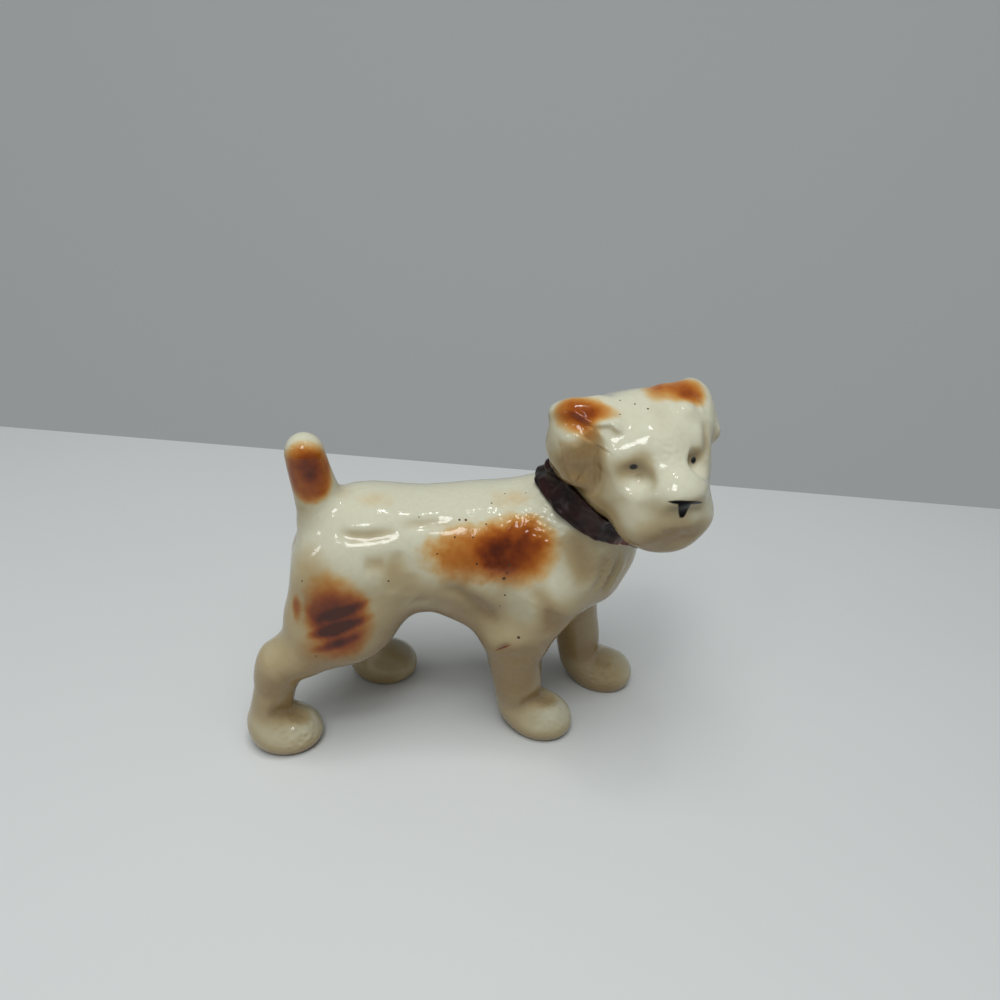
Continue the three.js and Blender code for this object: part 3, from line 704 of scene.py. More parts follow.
def ear_side(side):
    """A distance that is less than zero round an ear: inside the planes through its flap's corners."""
    corners = np.array(EARS[side]["corners"], float)
    planes = []
    for start, end in zip(corners, np.roll(corners, -1, 0)):
        planes.append((start, np.array([end[2] - start[2], 0, start[0] - end[0]])))
    for a, b, c in ((0, 1, 3), (1, 2, 3)):
        planes.append((corners[a], np.cross(corners[b] - corners[a], corners[c] - corners[a])))
    middle = corners.mean(0) + np.array([0, 1, 0])
    reach = EAR_THICKNESS / 2 + EAR_SOCKET

    def distance(p):
        q = on_head(p) * column((1, side, 1))
        d = np.full(p.shape[1], -np.inf)
        for start, facing in planes:
            facing = facing / np.linalg.norm(facing)
            facing = facing * -np.sign(facing @ (middle - start))
            d = np.maximum(d, (q * facing[:, None]).sum(0) - facing @ start - reach)
        return d

    return distance


def parted(skin, sides, last):
    """Cuts pieces off a skin one after another. What is left takes the last name."""
    pieces = {}
    for name, side in sides.items():
        pieces[name], skin = cut(skin, side)
    return {**pieces, last: skin}


@functools.lru_cache(maxsize=2)
def body_pieces(facet, relief, ripple):
    """The body's skin under the collar, parted into the tail, four legs and the torso."""
    skin = worked_skin(vented_figure, BODY_LOW, BODY_HIGH, facet, relief, ripple)
    _, skin = cut(skin, facing_from(COLLAR_AT, COLLAR_FACING))
    sides = {"tail": tail_side, **{name: leg_side(leg) for name, leg in LEGS.items()}}
    return parted(skin, sides, "torso")


@functools.lru_cache(maxsize=2)
def head_pieces(facet, relief, ripple):
    """The head's skin above the collar, parted into its two ears and the head."""
    low, high = ([v + reach for v in HEAD_AT] for reach in (-HEAD_REACH, HEAD_REACH))
    skin = worked_skin(figure, low, high, facet, relief, ripple)
    skin, _ = cut(skin, facing_from(COLLAR_AT, COLLAR_FACING))
    return parted(skin, {"right_ear": ear_side(-1), "left_ear": ear_side(1)}, "head")


def neck_radius(centre, out):
    """How far the clay reaches from points on the collar's axis, along directions square to it."""
    r = np.full(out.shape[1], NECK_START, np.float32)
    for _ in range(NECK_STEPS):
        r = np.clip(r - NECK_STEP * figure(centre + out * r), NECK_LEAST, NECK_MOST)
    return r


def squared(v):
    """A sine or cosine drawn towards a square wave by a power."""
    return np.sign(v) * np.abs(v) ** COLLAR_SQUARE


def collar_skin(roughness):
    """The collar as a closed band.

    Round the neck by angle a, and round its own section by s: the height across the band is the half
    width times cos(s), the thickness follows sin(s), both drawn towards a rectangle by a power, and the
    section stands on the clay's own radius. Near its thin end both are less by a share that falls off as
    exp(-(distance / reach)^2).
    """
    facing = np.array(COLLAR_FACING) / np.linalg.norm(COLLAR_FACING)
    east = np.cross((0, 1, 0), facing)
    east /= np.linalg.norm(east)
    north = np.cross(facing, east)
    a = np.linspace(0, 2 * math.pi, COLLAR_ROUND, endpoint=False)
    s = np.linspace(0, 2 * math.pi, COLLAR_ACROSS, endpoint=False)
    a, s = (m.ravel() for m in np.meshgrid(a, s, indexing="ij"))
    out = (east[:, None] * np.cos(a) + north[:, None] * np.sin(a)).astype(np.float32)
    from_end = length(column(COLLAR_AT) + out * NECK_MOST - column(COLLAR_END))
    slim = 1 - COLLAR_SLIM * np.exp(-(from_end / COLLAR_SLIM_REACH) ** 2)
    height = COLLAR_HALF_WIDTH * slim * squared(np.cos(s))
    centre = (column(COLLAR_AT) + facing[:, None] * height).astype(np.float32)
    thickness = np.where(np.sin(s) > 0, COLLAR_THICKNESS * slim, COLLAR_SUNK) * squared(np.sin(s))
    points = centre + out * (neck_radius(centre, out) + thickness)
    lump = roughness * waves(points, LUMP_SIZE, LUMP_SEED)
    marks = waves(np.stack([MARK_ROUNDS * a, height, thickness]), MARK_SIZE, MARK_SEED)
    lump += MARK_SHARE * roughness * marks
    points = (points + out * lump * (np.sin(s) > LUMPS_ABOVE)).astype(np.float32)
    p = np.arange(COLLAR_ROUND * COLLAR_ACROSS).reshape(COLLAR_ROUND, COLLAR_ACROSS)
    q = np.roll(p, -1, 0)
    squares = np.stack([p, np.roll(p, -1, 1), np.roll(q, -1, 1), q], -1).reshape(-1, 4)
    faces = np.concatenate([squares[:, [0, 1, 2]], squares[:, [0, 2, 3]]])
    normals = normals_of(points, faces)
    if (normals * out)[:, np.sin(s) > OUTER_ABOVE].sum() < 0:
        faces = faces[:, ::-1]
        normals = -normals
    return np.concatenate([points, normals, np.zeros((1, points.shape[1]))]).T, faces


def shift():
    """From the figure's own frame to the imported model's, by the right front paw's mount."""
    sole = next(m for m in frame["record"]["mounts"] if m["name"] == "right_fore_sole")
    return np.array(sole["pos_m"]) / MM - np.array(RIGHT_FORE_SOLE)


SHIFT = shift()


def in_frame(place):
    """A place in the figure's own frame as a place in the scene, in metres."""
    return tuple((np.array(place) + SHIFT) * MM)


def new_object(name, data):
    """A new object in the scene."""
    made = bpy.data.objects.new(name, data)
    bpy.context.scene.collection.objects.link(made)
    return made


def piece_from(name, table, faces, material, slot):
    """Makes an object from a table of place, normal and glaze depth with painted shade, standing for the
    node of its name.
    """
    old = bpy.data.objects.get(name + "_glazed")
    if old:
        bpy.data.objects.remove(old)
    mesh = bpy.data.meshes.new(name)
    mesh.vertices.add(len(table))
    mesh.vertices.foreach_set("co", ((table[:, :3] + SHIFT) * MM).astype(np.float32).ravel())
    mesh.loops.add(faces.size)
    mesh.loops.foreach_set("vertex_index", faces.ravel().astype(np.int32))
    mesh.polygons.add(len(faces))
    mesh.polygons.foreach_set("loop_start", np.arange(0, faces.size, 3, dtype=np.int32))
    mesh.polygons.foreach_set("use_smooth", np.ones(len(faces), bool))
    pooling_and_shade = mesh.attributes.new("pooling_and_shade", "FLOAT", "POINT")
    pooling_and_shade.data.foreach_set("value", table[:, 6].astype(np.float32))
    mesh.update()
    normals = table[:, 3:6] / np.maximum(np.linalg.norm(table[:, 3:6], axis=1, keepdims=True), 1e-9)
    mesh.normals_split_custom_set_from_vertices(normals)
    mesh.materials.append(material)
    made = new_object(name + "_glazed", mesh)
    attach(made, BODY)
    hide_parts(name)


# Airbrushed spots: place on the clay, roll from the level in degrees, radii along, across and
# through the surface, depth, softness of the edge, and how ragged it is
SPOTS = [
    # Tail, all over with a dark middle
    ((-38.2, -4.6, 77), 96, (8.4, 6.8, 10), 1.9, 0.45, 0.25),
    ((-37.6, -4.6, 78), 100, (6.6, 3.8, 7), 1.5, 0.95, 0.25),
    # Right hip: a brown patch, its dark streaks, an orange fringe below and a fleck behind
    ((-31.8, -17.6, 46), -75, (14, 9.2, 9), 1.25, 0.6, 0.25),
    ((-32.6, -18.4, 38.6), 22, (12, 6.2, 8), 0.7, 0.8, 0.25),
    ((-32.8, -17.6, 46.6), 32, (10, 7.6, 7), 1.9, 0.8, 0.25),
    ((-31, -17.4, 47.6), 24, (9.4, 1.9, 6), 2.0, 0.95, 0.25),
    ((-31.8, -18, 43.2), 22, (10, 2.1, 6), 2.8, 0.95, 0.25),
    ((-32.2, -18.4, 38.9), 24, (9, 1.8, 6), 2.0, 0.95, 0.25),
    ((-41.6, -14, 46.2), -80, (4.6, 2.2, 4), 1.3, 0.95, 0.8),
    # Right flank: pale to the rear, then dark, with the orange carried up over the shoulder
    ((-1.4, -13.8, 61), 4, (13.4, 8.8, 9), 1.5, 0.8, 0.5),
    ((9.2, -14.4, 61.8), 6, (12.6, 10.4, 10), 1.7, 0.65, 0.25),
    ((9.4, -13.8, 62), 40, (12, 7, 8), 1.2, 0.8, 0.4),
    ((11, -13.8, 64), 60, (7, 2, 8), 0.4, 0.95, 0.25),
    ((7, -13.8, 63), 75, (7, 1.6, 8), 0.35, 0.95, 0.25),
    # Brown in the crease at the elbow
    ((7.8, -17.7, 34.8), 40, (3.2, 0.45, 3), 2.2, 0.8, 0.25),
    # Ears
    ((20.6, -10.8, 96.8), 8, (8, 5.8, 7), 1.8, 0.75, 0.25),
    ((22, -13, 94.8), -40, (6.8, 4.2, 6), 1.0, 0.95, 0.25),
    ((25.6, -12.4, 97.2), 10, (5.4, 3.6, 6), 1.0, 0.95, 0.25),
    ((45, -6.6, 100.4), 0, (7.4, 6.2, 7), 1.8, 0.8, 0.25),
    ((39.4, -5.6, 99.5), 0, (6.8, 4, 6), 1.2, 0.95, 0.25),
    ((47, -8.6, 99.4), 0, (4, 4, 5), 0.8, 0.95, 0.25),
    # Yellow mottle on the back
    ((-23, -4, 70), 0, (6, 4, 5), 0.16, 0.95, 1),
    ((9, -4.7, 70.3), 16, (7.4, 4.4, 5), 0.2, 0.95, 1),
]
# What the stain takes of red, green and blue where thin and where thick, its deepest, and its ramp's stops
STAIN_ABSORBED = ((0.12, 0.1), (1.0, 0), (2.2, 0))
STAIN_DEEPEST = 4.0
STAIN_STOPS = 12

# Iron specks: place and radius
SPECKS = [
    ((-3.6, -8.9, 67.3), 0.32), ((-2.1, -9, 67.3), 0.36), ((-4.8, -11.9, 64.4), 0.28),
    ((-0.6, -12.3, 64.5), 0.25), ((-8.9, -13.7, 61), 0.25), ((-20.1, -16, 55), 0.3),
    ((7.3, -16.9, 51), 0.3), ((6.4, -16.3, 47.4), 0.25), ((3.6, -15.4, 44.9), 0.22),
    ((11.4, -18.5, 38.9), 0.5), ((-3.8, -16, 51), 0.22), ((2.6, -10.2, 66.8), 0.25),
    ((4.3, -5.3, 69.6), 0.25), ((7.8, -2.6, 70.6), 0.2), ((12.6, -3.6, 71.5), 0.22),
    ((7.9, -15.9, 59), 0.42), ((7.4, -16.4, 57.2), 0.36), ((6.8, -16.7, 55.7), 0.52),
    ((0.3, -15.5, 59.2), 0.34), ((-37.4, -18.2, 34.8), 0.3), ((-40, -13.5, 53.7), 0.26),
    ((33.3, -11.2, 98.4), 0.26), ((35.7, -13.2, 98.4), 0.32), ((30.6, -8.8, 98.2), 0.24),
    ((29.6, -13.3, 97), 0.24), ((-13, -7.8, 67.4), 0.2),
]
SPECK_EDGE = 0.35
SPECK_THROUGH = 3

# Eyes: place in the head's own directions, radii, strength, edge and colour, the socket before its dot. The
# sockets' grey-brown is painted shade; the dots are black paint.
EYE_DOTS_AND_SOCKET_SHADE = [
    ((12, -6.2, 2), (3.4, 2.2, 3), 0.5, 0.95, (0.17, 0.13, 0.07)),
    ((11.4, 7.2, 0.3), (2.4, 2.4, 3), 0.5, 0.95, (0.17, 0.13, 0.07)),
    ((11.9, -6.9, 1.7), (1.1, 0.9, 2), 1.0, 0.5, (0.004, 0.004, 0.002)),
    ((11.4, 7.4, -0.1), (0.9, 1.05, 2), 1.0, 0.5, (0.004, 0.004, 0.002)),
]

# Nose, on the head: its line bends as height = NOSE_HEIGHT + slope y + bend y^2, over a pointed wedge
NOSE_FRONT = 15
NOSE_HEIGHT = -4.25
NOSE_SLOPE = -0.255
NOSE_BEND = -0.027
NOSE_MIDDLE = 0.8
NOSE_REACH = 4.2
NOSE_LINE = 0.52
NOSE_DROP = 4.3
NOSE_LEFT = -1.7
NOSE_RIGHT = 1.5
NOSE_FOOT_LEFT = -0.5
NOSE_FOOT_RIGHT = 0.1
NOSE_EDGE = 0.22
NOSE_BLACK = (0.003, 0.002, 0.0025)
NOSE_DULL = 0.85
# Grey smudge under the nose line: how far below it lies, half its width, its ends, strength and colour
SMUDGE_DROP = 1.6
SMUDGE_HALF = 1.5
SMUDGE_ENDS = (1.2, 0.7)
SMUDGE_STRENGTH = 0.35
SMUDGE_GREY = (0.12, 0.11, 0.07)

# Glaze: scales and details of its noises, its heights in metres, and the depths where its colours change.
# The heights set painted shade that darkens and warms the glaze towards the table, with less of it on the
# paws.
CLOUD_NOISE = (60, 3)
DEPTH_NOISE = (260, 3)
PEEL_NOISE = (420, 2)
FINE_NOISE = (900, 4)
MOTTLE_NOISE = (340, 3)
WANDER_NOISE = (300, 2)
CLOUD_LIFT = 0.016
CLOUD_WEAR = 0.06
DEPTH_UNEVEN = 0.12
DEPTH_LESS = -0.06
# Painted shade towards the table: heights in metres where it starts and where it is full, and its amount;
# then the share of it kept near the table, less on the paws
SHADE_TOWARDS_TABLE = (0.07, 0.032, 0, 0.5)
PAW_LESS_SHADE = (0.009, 0.016, 0.4, 1)
LOW_DEPTHS = (0.02, 0.6)
POOLED_DEPTHS = (0.45, 1.2)
FINE_TINT = (0.35, 0.75, 0, 0.12)
MOTTLE = (0.3, 0.7, 0.88, 1.1)
SOLE_ROUGH = (0.0005, 0.0002, 0, 0.5)
GLAZE_IOR = 1.48
PEEL = {"Strength": 0.12, "Distance": 0.0002}

# Collar paint: its brush noise, where that turns thick paint to thin, its shine and its relief
BRUSH_NOISE = (220, 4)
BRUSH_THIN = (0.35, 0.7)
BRUSH_ROUGHNESS = (0.3, 0.7, 0.42, 0.3)
BRUSH = {"Strength": 0.25, "Distance": 0.0004}
COLLAR_IOR = 1.5
COLLAR_SHINE = 0.3
COLLAR_END_EDGE = 0.9


def fill(tree, node, inputs):
    """Gives a node's sockets their values, or links them from other sockets."""
    for name, value in inputs.items():
        if isinstance(value, bpy.types.NodeSocket):
            tree.links.new(value, node.inputs[name])
        else:
            node.inputs[name].default_value = value
    return node


def add(tree, kind, inputs=None, **settings):
    """Adds a node with its settings and its sockets' values."""
    made = tree.nodes.new(kind)
    for name, value in settings.items():
        setattr(made, name, value)
    return fill(tree, made, inputs or {})


def maths(tree, operation, *values):
    """One Math node's result."""
    return add(tree, "ShaderNodeMath", dict(enumerate(values)), operation=operation).outputs[0]


def ramp_between(tree, value, start, end, low=0.0, high=1.0):
    """A smooth step from low to high as a value goes from start to end."""
    inputs = {"Value": value, "From Min": start, "From Max": end, "To Min": low, "To Max": high}
    return add(tree, "ShaderNodeMapRange", inputs, interpolation_type="SMOOTHSTEP").outputs[0]


def mixed(tree, factor, a, b, blend_type="MIX"):
    """A colour between two."""
    inputs = {0: factor, 6: a, 7: b}
    return add(tree, "ShaderNodeMix", inputs, data_type="RGBA", blend_type=blend_type).outputs[2]


def noise(tree, where, scale, detail):
    """A Noise node's value."""
    inputs = {"Vector": where, "Scale": scale, "Detail": detail}
    return add(tree, "ShaderNodeTexNoise", inputs).outputs[0]


def ramp(tree, value, stops):
    """A colour by a value, through stops of place and colour."""
    made = add(tree, "ShaderNodeValToRGB", {"Fac": value})
    band = made.color_ramp
    while len(band.elements) < len(stops):
        band.elements.new(1)
    for element, (place, colour) in zip(band.elements, stops):
        element.position = place
        element.color = (*colour, 1)
    return made.outputs[0]


def shader_group(name, inputs, outputs):
    """An empty node group with its sockets, what it is given and the node that puts out its results."""
    tree = bpy.data.node_groups.new(name, "ShaderNodeTree")
    for label, (kind, value) in inputs.items():
        socket = tree.interface.new_socket(label, in_out="INPUT", socket_type="NodeSocket" + kind)
        if value is not None:
            socket.default_value = value
    for label, kind in outputs.items():
        tree.interface.new_socket(label, in_out="OUTPUT", socket_type="NodeSocket" + kind)
    return tree, tree.nodes.new("NodeGroupInput").outputs, tree.nodes.new("NodeGroupOutput")


@functools.lru_cache(maxsize=None)
def spot_group():
    """Airbrushed spot: its depth falls from Strength in the middle to none at length one of Place."""
    tree, given, out = shader_group("airbrushed spot", {
        "Place": ("Vector", None),
        "Wander": ("Float", 0),
        "Edge": ("Float", 0.6),
        "Strength": ("Float", 1),
    }, {"Density": "Float"})
    far = add(tree, "ShaderNodeVectorMath", {0: given["Place"]}, operation="LENGTH").outputs["Value"]
    far = maths(tree, "ADD", far, given["Wander"])
    density = ramp_between(tree, far, 1, maths(tree, "SUBTRACT", 1, given["Edge"]))
    fill(tree, out, {"Density": maths(tree, "MULTIPLY", density, given["Strength"])})
    return tree


@functools.lru_cache(maxsize=None)
def glaze_group():
    """Glaze: cream on top, darker and warmer towards the table and where it is deep, uneven all over. The
    warmth towards the table is painted shade, with less of it on the paws, and the depth is partly glaze
    pooled in the hollows and partly painted shade.

    Roughness is higher where the soles were wiped, and Height is the orange-peel of the surface.
    """
    tree, given, out = shader_group("cream glaze", {
        "Where": ("Vector", None),
        "Pooling and shade": ("Float", 0),
        "Cream": ("Color", (0.7, 0.68, 0.53, 1)),
        "Low": ("Color", (0.5, 0.45, 0.3, 1)),
        "Deep glaze and shade": ("Color", (0.3, 0.24, 0.12, 1)),
        "Roughness": ("Float", 0.08),
    }, {"Colour": "Color", "Roughness": "Float", "Height": "Float"})
    where = given["Where"]
    up = add(tree, "ShaderNodeSeparateXYZ", {0: where}).outputs[2]
    cloud = noise(tree, where, *CLOUD_NOISE)
    # Painted shade: darker and warmer towards the table, with less of it on the paws
    low = ramp_between(tree, maths(tree, "MULTIPLY_ADD", cloud, CLOUD_LIFT, up), *SHADE_TOWARDS_TABLE)
    low = maths(tree, "MULTIPLY", low, ramp_between(tree, up, *PAW_LESS_SHADE))
    depth = maths(tree, "MULTIPLY_ADD", noise(tree, where, *DEPTH_NOISE), DEPTH_UNEVEN, given["Pooling and shade"])
    depth = maths(tree, "ADD", maths(tree, "ADD", depth, low), DEPTH_LESS)
    colour = mixed(tree, ramp_between(tree, depth, *LOW_DEPTHS), given["Cream"], given["Low"])
    colour = mixed(tree, ramp_between(tree, depth, *POOLED_DEPTHS), colour, given["Deep glaze and shade"])
    fine = noise(tree, where, *FINE_NOISE)
    worn = maths(tree, "MULTIPLY_ADD", cloud, CLOUD_WEAR, given["Roughness"])
    fill(tree, out, {
        "Colour": mixed(tree, ramp_between(tree, fine, *FINE_TINT), colour, given["Low"]),
        "Roughness": maths(tree, "ADD", worn, ramp_between(tree, up, *SOLE_ROUGH)),
        "Height": maths(tree, "ADD", noise(tree, where, *PEEL_NOISE), fine),
    })
    return tree


def placed(tree, where, at, turn, radii):
    """Coordinates from a place on the figure, turned, as shares of the radii."""
    return add(tree, "ShaderNodeMapping", {
        "Vector": where,
        "Location": in_frame(at),
        "Rotation": turn,
        "Scale": [r * MM for r in radii],
    }, vector_type="TEXTURE").outputs[0]


def on_surface(tree, where, at, roll, radii):
    """Coordinates along, across and through the clay's surface at a place, rolled about its slope."""
    z = Vector(slope(figure, column(at))[:, 0]).normalized()
    x = Vector((0, 0, 1)).cross(z).normalized()
    turn = Matrix((x, z.cross(x), z)).transposed() @ Matrix.Rotation(math.radians(roll), 3, "Z")
    return placed(tree, where, at, turn.to_euler("XYZ"), radii)


def head_place(tree, where, at, radii):
    """Coordinates forward, left and up on the head from a place on it."""
    middle = HEAD_AXES @ np.array(at, float) + np.array(HEAD_AT)
    return placed(tree, where, middle, Matrix(HEAD_AXES.tolist()).to_euler("XYZ"), radii)


def spot(tree, place, edge, wander=0.0, strength=1.0):
    """One airbrushed spot's density."""
    inputs = {"Place": place, "Wander": wander, "Edge": edge, "Strength": strength}
    return add(tree, "ShaderNodeGroup", inputs, node_tree=spot_group()).outputs[0]


def stained(tree, where, colour):
    """Colour seen through the stain: each channel keeps exp(-depth (thin + thick depth)), where depth is
    the sum of the spots' depths, mottled all over."""
    wander = maths(tree, "SUBTRACT", noise(tree, where, *WANDER_NOISE), 0.5)
    depth = 0.0
    for at, roll, radii, deep, edge, ragged in SPOTS:
        place = on_surface(tree, where, at, roll, radii)
        laid = spot(tree, place, edge, maths(tree, "MULTIPLY", wander, ragged), deep / STAIN_DEEPEST)
        depth = maths(tree, "ADD", depth, laid)
    mottle = ramp_between(tree, noise(tree, where, *MOTTLE_NOISE), *MOTTLE)
    stops = []
    for n in range(STAIN_STOPS + 1):
        deep = STAIN_DEEPEST * n / STAIN_STOPS
        kept = tuple(math.exp(-deep * (thin + thick * deep)) for thin, thick in STAIN_ABSORBED)
        stops.append((n / STAIN_STOPS, kept))
    return mixed(tree, 1.0, colour, ramp(tree, maths(tree, "MULTIPLY", depth, mottle), stops), "MULTIPLY")


def speck_mask(tree, where):
    """All the specks."""
    total = 0.0
    for at, radius in SPECKS:
        place = on_surface(tree, where, at, 0, (radius, radius, radius * SPECK_THROUGH))
        total = maths(tree, "MAXIMUM", total, spot(tree, place, SPECK_EDGE))
    return total


def nose_masks(tree, where):
    """The black nose, and the grey smudge under it.

    The line is thinner towards its ends by 1 - side^4. The wedge's left edge is straight and its right
    one bulges by sqrt(1 - share^2), with a blunt foot.
    """
    calc = functools.partial(maths, tree)
    on_nose = head_place(tree, where, (0, 0, 0), (1, 1, 1))
    forward, across, up = add(tree, "ShaderNodeSeparateXYZ", {0: on_nose}).outputs
    bend = calc("MULTIPLY_ADD", across, NOSE_BEND, NOSE_SLOPE)
    drop = calc("SUBTRACT", calc("MULTIPLY_ADD", across, bend, NOSE_HEIGHT), up)
    side = calc("ABSOLUTE", calc("DIVIDE", calc("SUBTRACT", across, NOSE_MIDDLE), NOSE_REACH))
    thin = calc("MULTIPLY_ADD", calc("POWER", side, 4), -NOSE_LINE, NOSE_LINE)
    inside = calc("SUBTRACT", thin, calc("ABSOLUTE", drop))
    share = calc("DIVIDE", drop, NOSE_DROP)
    left = calc("MULTIPLY_ADD", share, NOSE_FOOT_LEFT - NOSE_LEFT, NOSE_LEFT)
    bulge = calc("SQRT", calc("MAXIMUM", calc("SUBTRACT", 1, calc("MULTIPLY", share, share)), 0))
    right = calc("MULTIPLY_ADD", bulge, NOSE_RIGHT - NOSE_FOOT_RIGHT, NOSE_FOOT_RIGHT)
    wedge = calc("SUBTRACT", across, left)
    for edge in (calc("SUBTRACT", right, across), drop, calc("SUBTRACT", NOSE_DROP, drop)):
        wedge = calc("MINIMUM", wedge, edge)
    front = ramp_between(tree, forward, NOSE_FRONT, NOSE_FRONT + 1)
    black = ramp_between(tree, calc("MAXIMUM", inside, wedge), -NOSE_EDGE, NOSE_EDGE)
    away = calc("ABSOLUTE", calc("SUBTRACT", drop, SMUDGE_DROP))
    smudge = ramp_between(tree, away, SMUDGE_HALF, 0, 0, SMUDGE_STRENGTH)
    smudge = calc("MULTIPLY", smudge, ramp_between(tree, side, *SMUDGE_ENDS))
    return calc("MULTIPLY", black, front), calc("MULTIPLY", smudge, front)


def painted_face(tree, where, colour):
    """Painted grey-brown shade in the sockets, black eye dots, and a black nose. Its metallic share takes
    its shine away.
    """
    for at, radii, strength, edge, shade in EYE_DOTS_AND_SOCKET_SHADE:
        place = head_place(tree, where, at, (radii[2], radii[0], radii[1]))
        colour = mixed(tree, spot(tree, place, edge, 0.0, strength), colour, (*shade, 1))
    black, smudge = nose_masks(tree, where)
    colour = mixed(tree, smudge, colour, (*SMUDGE_GREY, 1))
    colour = mixed(tree, black, colour, (*NOSE_BLACK, 1))
    return colour, maths(tree, "MULTIPLY", black, NOSE_DULL)


def new_material(name):
    """A new material, its nodes and its coordinates in metres."""
    material = bpy.data.materials.new(name)
    material.use_nodes = True
    tree = material.node_tree
    return material, tree, add(tree, "ShaderNodeTexCoord").outputs["Object"]


def principled(tree, inputs):
    """Fills a material's own shader."""
    fill(tree, tree.nodes["Principled BSDF"], inputs)


def glaze_material(name, face=False):
    """Cream glaze with painted shade, over airbrushed stain and specks, and over the painted eyes, their
    sockets' painted shade and the nose on the head.
    """
    if name in bpy.data.materials:
        return bpy.data.materials[name]
    settings = bpy.context.scene.terrier_glaze
    material, tree, where = new_material(name)
    glaze = add(tree, "ShaderNodeGroup", {
        "Where": where,
        "Pooling and shade": add(tree, "ShaderNodeAttribute", attribute_name="pooling_and_shade").outputs["Fac"],
        "Cream": (*settings.cream, 1),
        "Low": (*settings.low, 1),
        "Deep glaze and shade": (*settings.pooled_and_shade, 1),
        "Roughness": settings.roughness,
    }, node_tree=glaze_group()).outputs
    colour = stained(tree, where, glaze["Colour"])
    colour = mixed(tree, speck_mask(tree, where), colour, (*settings.speck, 1))
    dull = 0.0
    if face:
        colour, dull = painted_face(tree, where, colour)
    principled(tree, {
        "Base Color": colour,
        "Roughness": glaze["Roughness"],
        "Normal": add(tree, "ShaderNodeBump", {"Height": glaze["Height"], **PEEL}).outputs[0],
        "IOR": GLAZE_IOR,
        "Metallic": dull,
    })
    return material


def collar_material(name):
    """Thick satin brown paint: near black in its strokes, redder where it is thin."""
    if name in bpy.data.materials:
        return bpy.data.materials[name]
    settings = bpy.context.scene.terrier_collar
    material, tree, where = new_material(name)
    brushed = noise(tree, where, *BRUSH_NOISE)
    thinner = ramp_between(tree, brushed, *BRUSH_THIN)
    colour = mixed(tree, thinner, (*settings.dark, 1), (*settings.brown, 1))
    end = spot(tree, on_surface(tree, where, COLLAR_END, 0, COLLAR_END_RADII), COLLAR_END_EDGE)
    colour = mixed(tree, end, colour, (*settings.thin, 1))
    principled(tree, {
        "Base Color": colour,
        "Roughness": ramp_between(tree, brushed, *BRUSH_ROUGHNESS),
        "Normal": add(tree, "ShaderNodeBump", {"Height": brushed, **BRUSH}).outputs[0],
        "IOR": COLLAR_IOR,
        "Specular IOR Level": COLLAR_SHINE,
    })
    return material


# Camera, solved from the ruler's marks in front of the figure: millimetres in the figure's own frame,
# radians, and pixels of a square picture 1000 wide
EYE = (-20.861, -166.144, 168.499)
EYE_PITCH = 0.5413
EYE_YAW = 0.1669
EYE_ROLL = -0.0815
FOCAL_PIXELS = 800
IMAGE_SIZE = 1000
SENSOR = 36
CLIP_START = 0.01
# Two pixels on the far edge of the table
EDGE_LEFT = (225, 445)
EDGE_RIGHT = (745, 488)
EYE_AXES = axes(math.pi / 2 - EYE_YAW, -EYE_PITCH, EYE_ROLL)

# Table and backdrop: how far they reach, and their roughness and speckle
TABLE_NEAR = 900
TABLE_SIDE = 1200
TABLE_FINISH = (0.55, 0.04)
BACKDROP_BEHIND = 700
BACKDROP_LOW = -900
BACKDROP_HIGH = 900
BACKDROP_FINISH = (0.9, 0.03)
PLAIN_NOISE = (9, 3)

# Lamps aimed at the figure's middle: place, size, power in watts, and whether the glaze mirrors them. One
# broad one gives the light and small ones the glints.
FIGURE_MIDDLE = (0, 0, 50)
LAMPS = {
    "broad": ((-20, -110, 640), (360, 360), 2.0, False),
    "ceiling": ((40, 10, 640), (60, 30), 0.14, True),
    "window": ((-110, -310, 600), (140, 190), 0.8, True),
    "left window": ((-330, -300, 620), (70, 70), 0.16, True),
    "side": ((-560, -100, 320), (60, 60), 0.08, True),
}


def on_table(pixel):
    """Where the ray through a pixel meets the table, in the figure's frame."""
    forward, left, up = EYE_AXES
    across, below_middle = ((v - IMAGE_SIZE / 2) / FOCAL_PIXELS for v in pixel)
    way = forward - across * left - below_middle * up
    return np.array(EYE) - way * EYE[2] / way[2]


def make_camera():
    """A camera at the photograph's place, angle and field of view."""
    forward, left, up = EYE_AXES
    data = bpy.data.cameras.new("camera")
    data.sensor_width = SENSOR
    data.lens = SENSOR * FOCAL_PIXELS / IMAGE_SIZE
    data.clip_start = CLIP_START
    camera = new_object("camera", data)
    turn = Matrix([-left, up, -forward]).transposed().to_4x4()
    camera.matrix_world = Matrix.Translation(in_frame(EYE)) @ turn
    bpy.context.scene.camera = camera


def flat_sheet(name, corners, material):
    """A flat sheet between four corners in the figure's frame, which isn't part of the figure."""
    mesh = bpy.data.meshes.new(name)
    mesh.from_pydata([in_frame(c) for c in corners], [], [(0, 1, 2, 3)])
    mesh.materials.append(material)
    new_object(name, mesh)


def plain_material(name, colour, roughness, speckle):
    """A matt surface with a faint unevenness."""
    material, tree, where = new_material(name)
    dark = tuple(v * (1 - speckle) for v in colour)
    shade = mixed(tree, noise(tree, where, *PLAIN_NOISE), (*colour, 1), (*dark, 1))
    principled(tree, {"Base Color": shade, "Roughness": roughness})
    return material


def show_in_picture(material, colour):
    """Gives a backdrop its own colour in the picture and in reflections, whatever light falls on it."""
    tree = material.node_tree
    path = add(tree, "ShaderNodeLightPath").outputs
    seen = maths(tree, "MAXIMUM", path["Is Camera Ray"], path["Is Glossy Ray"])
    inputs = {"Emission Color": (*colour, 1), "Emission Strength": seen, "Specular IOR Level": 0}
    principled(tree, inputs)


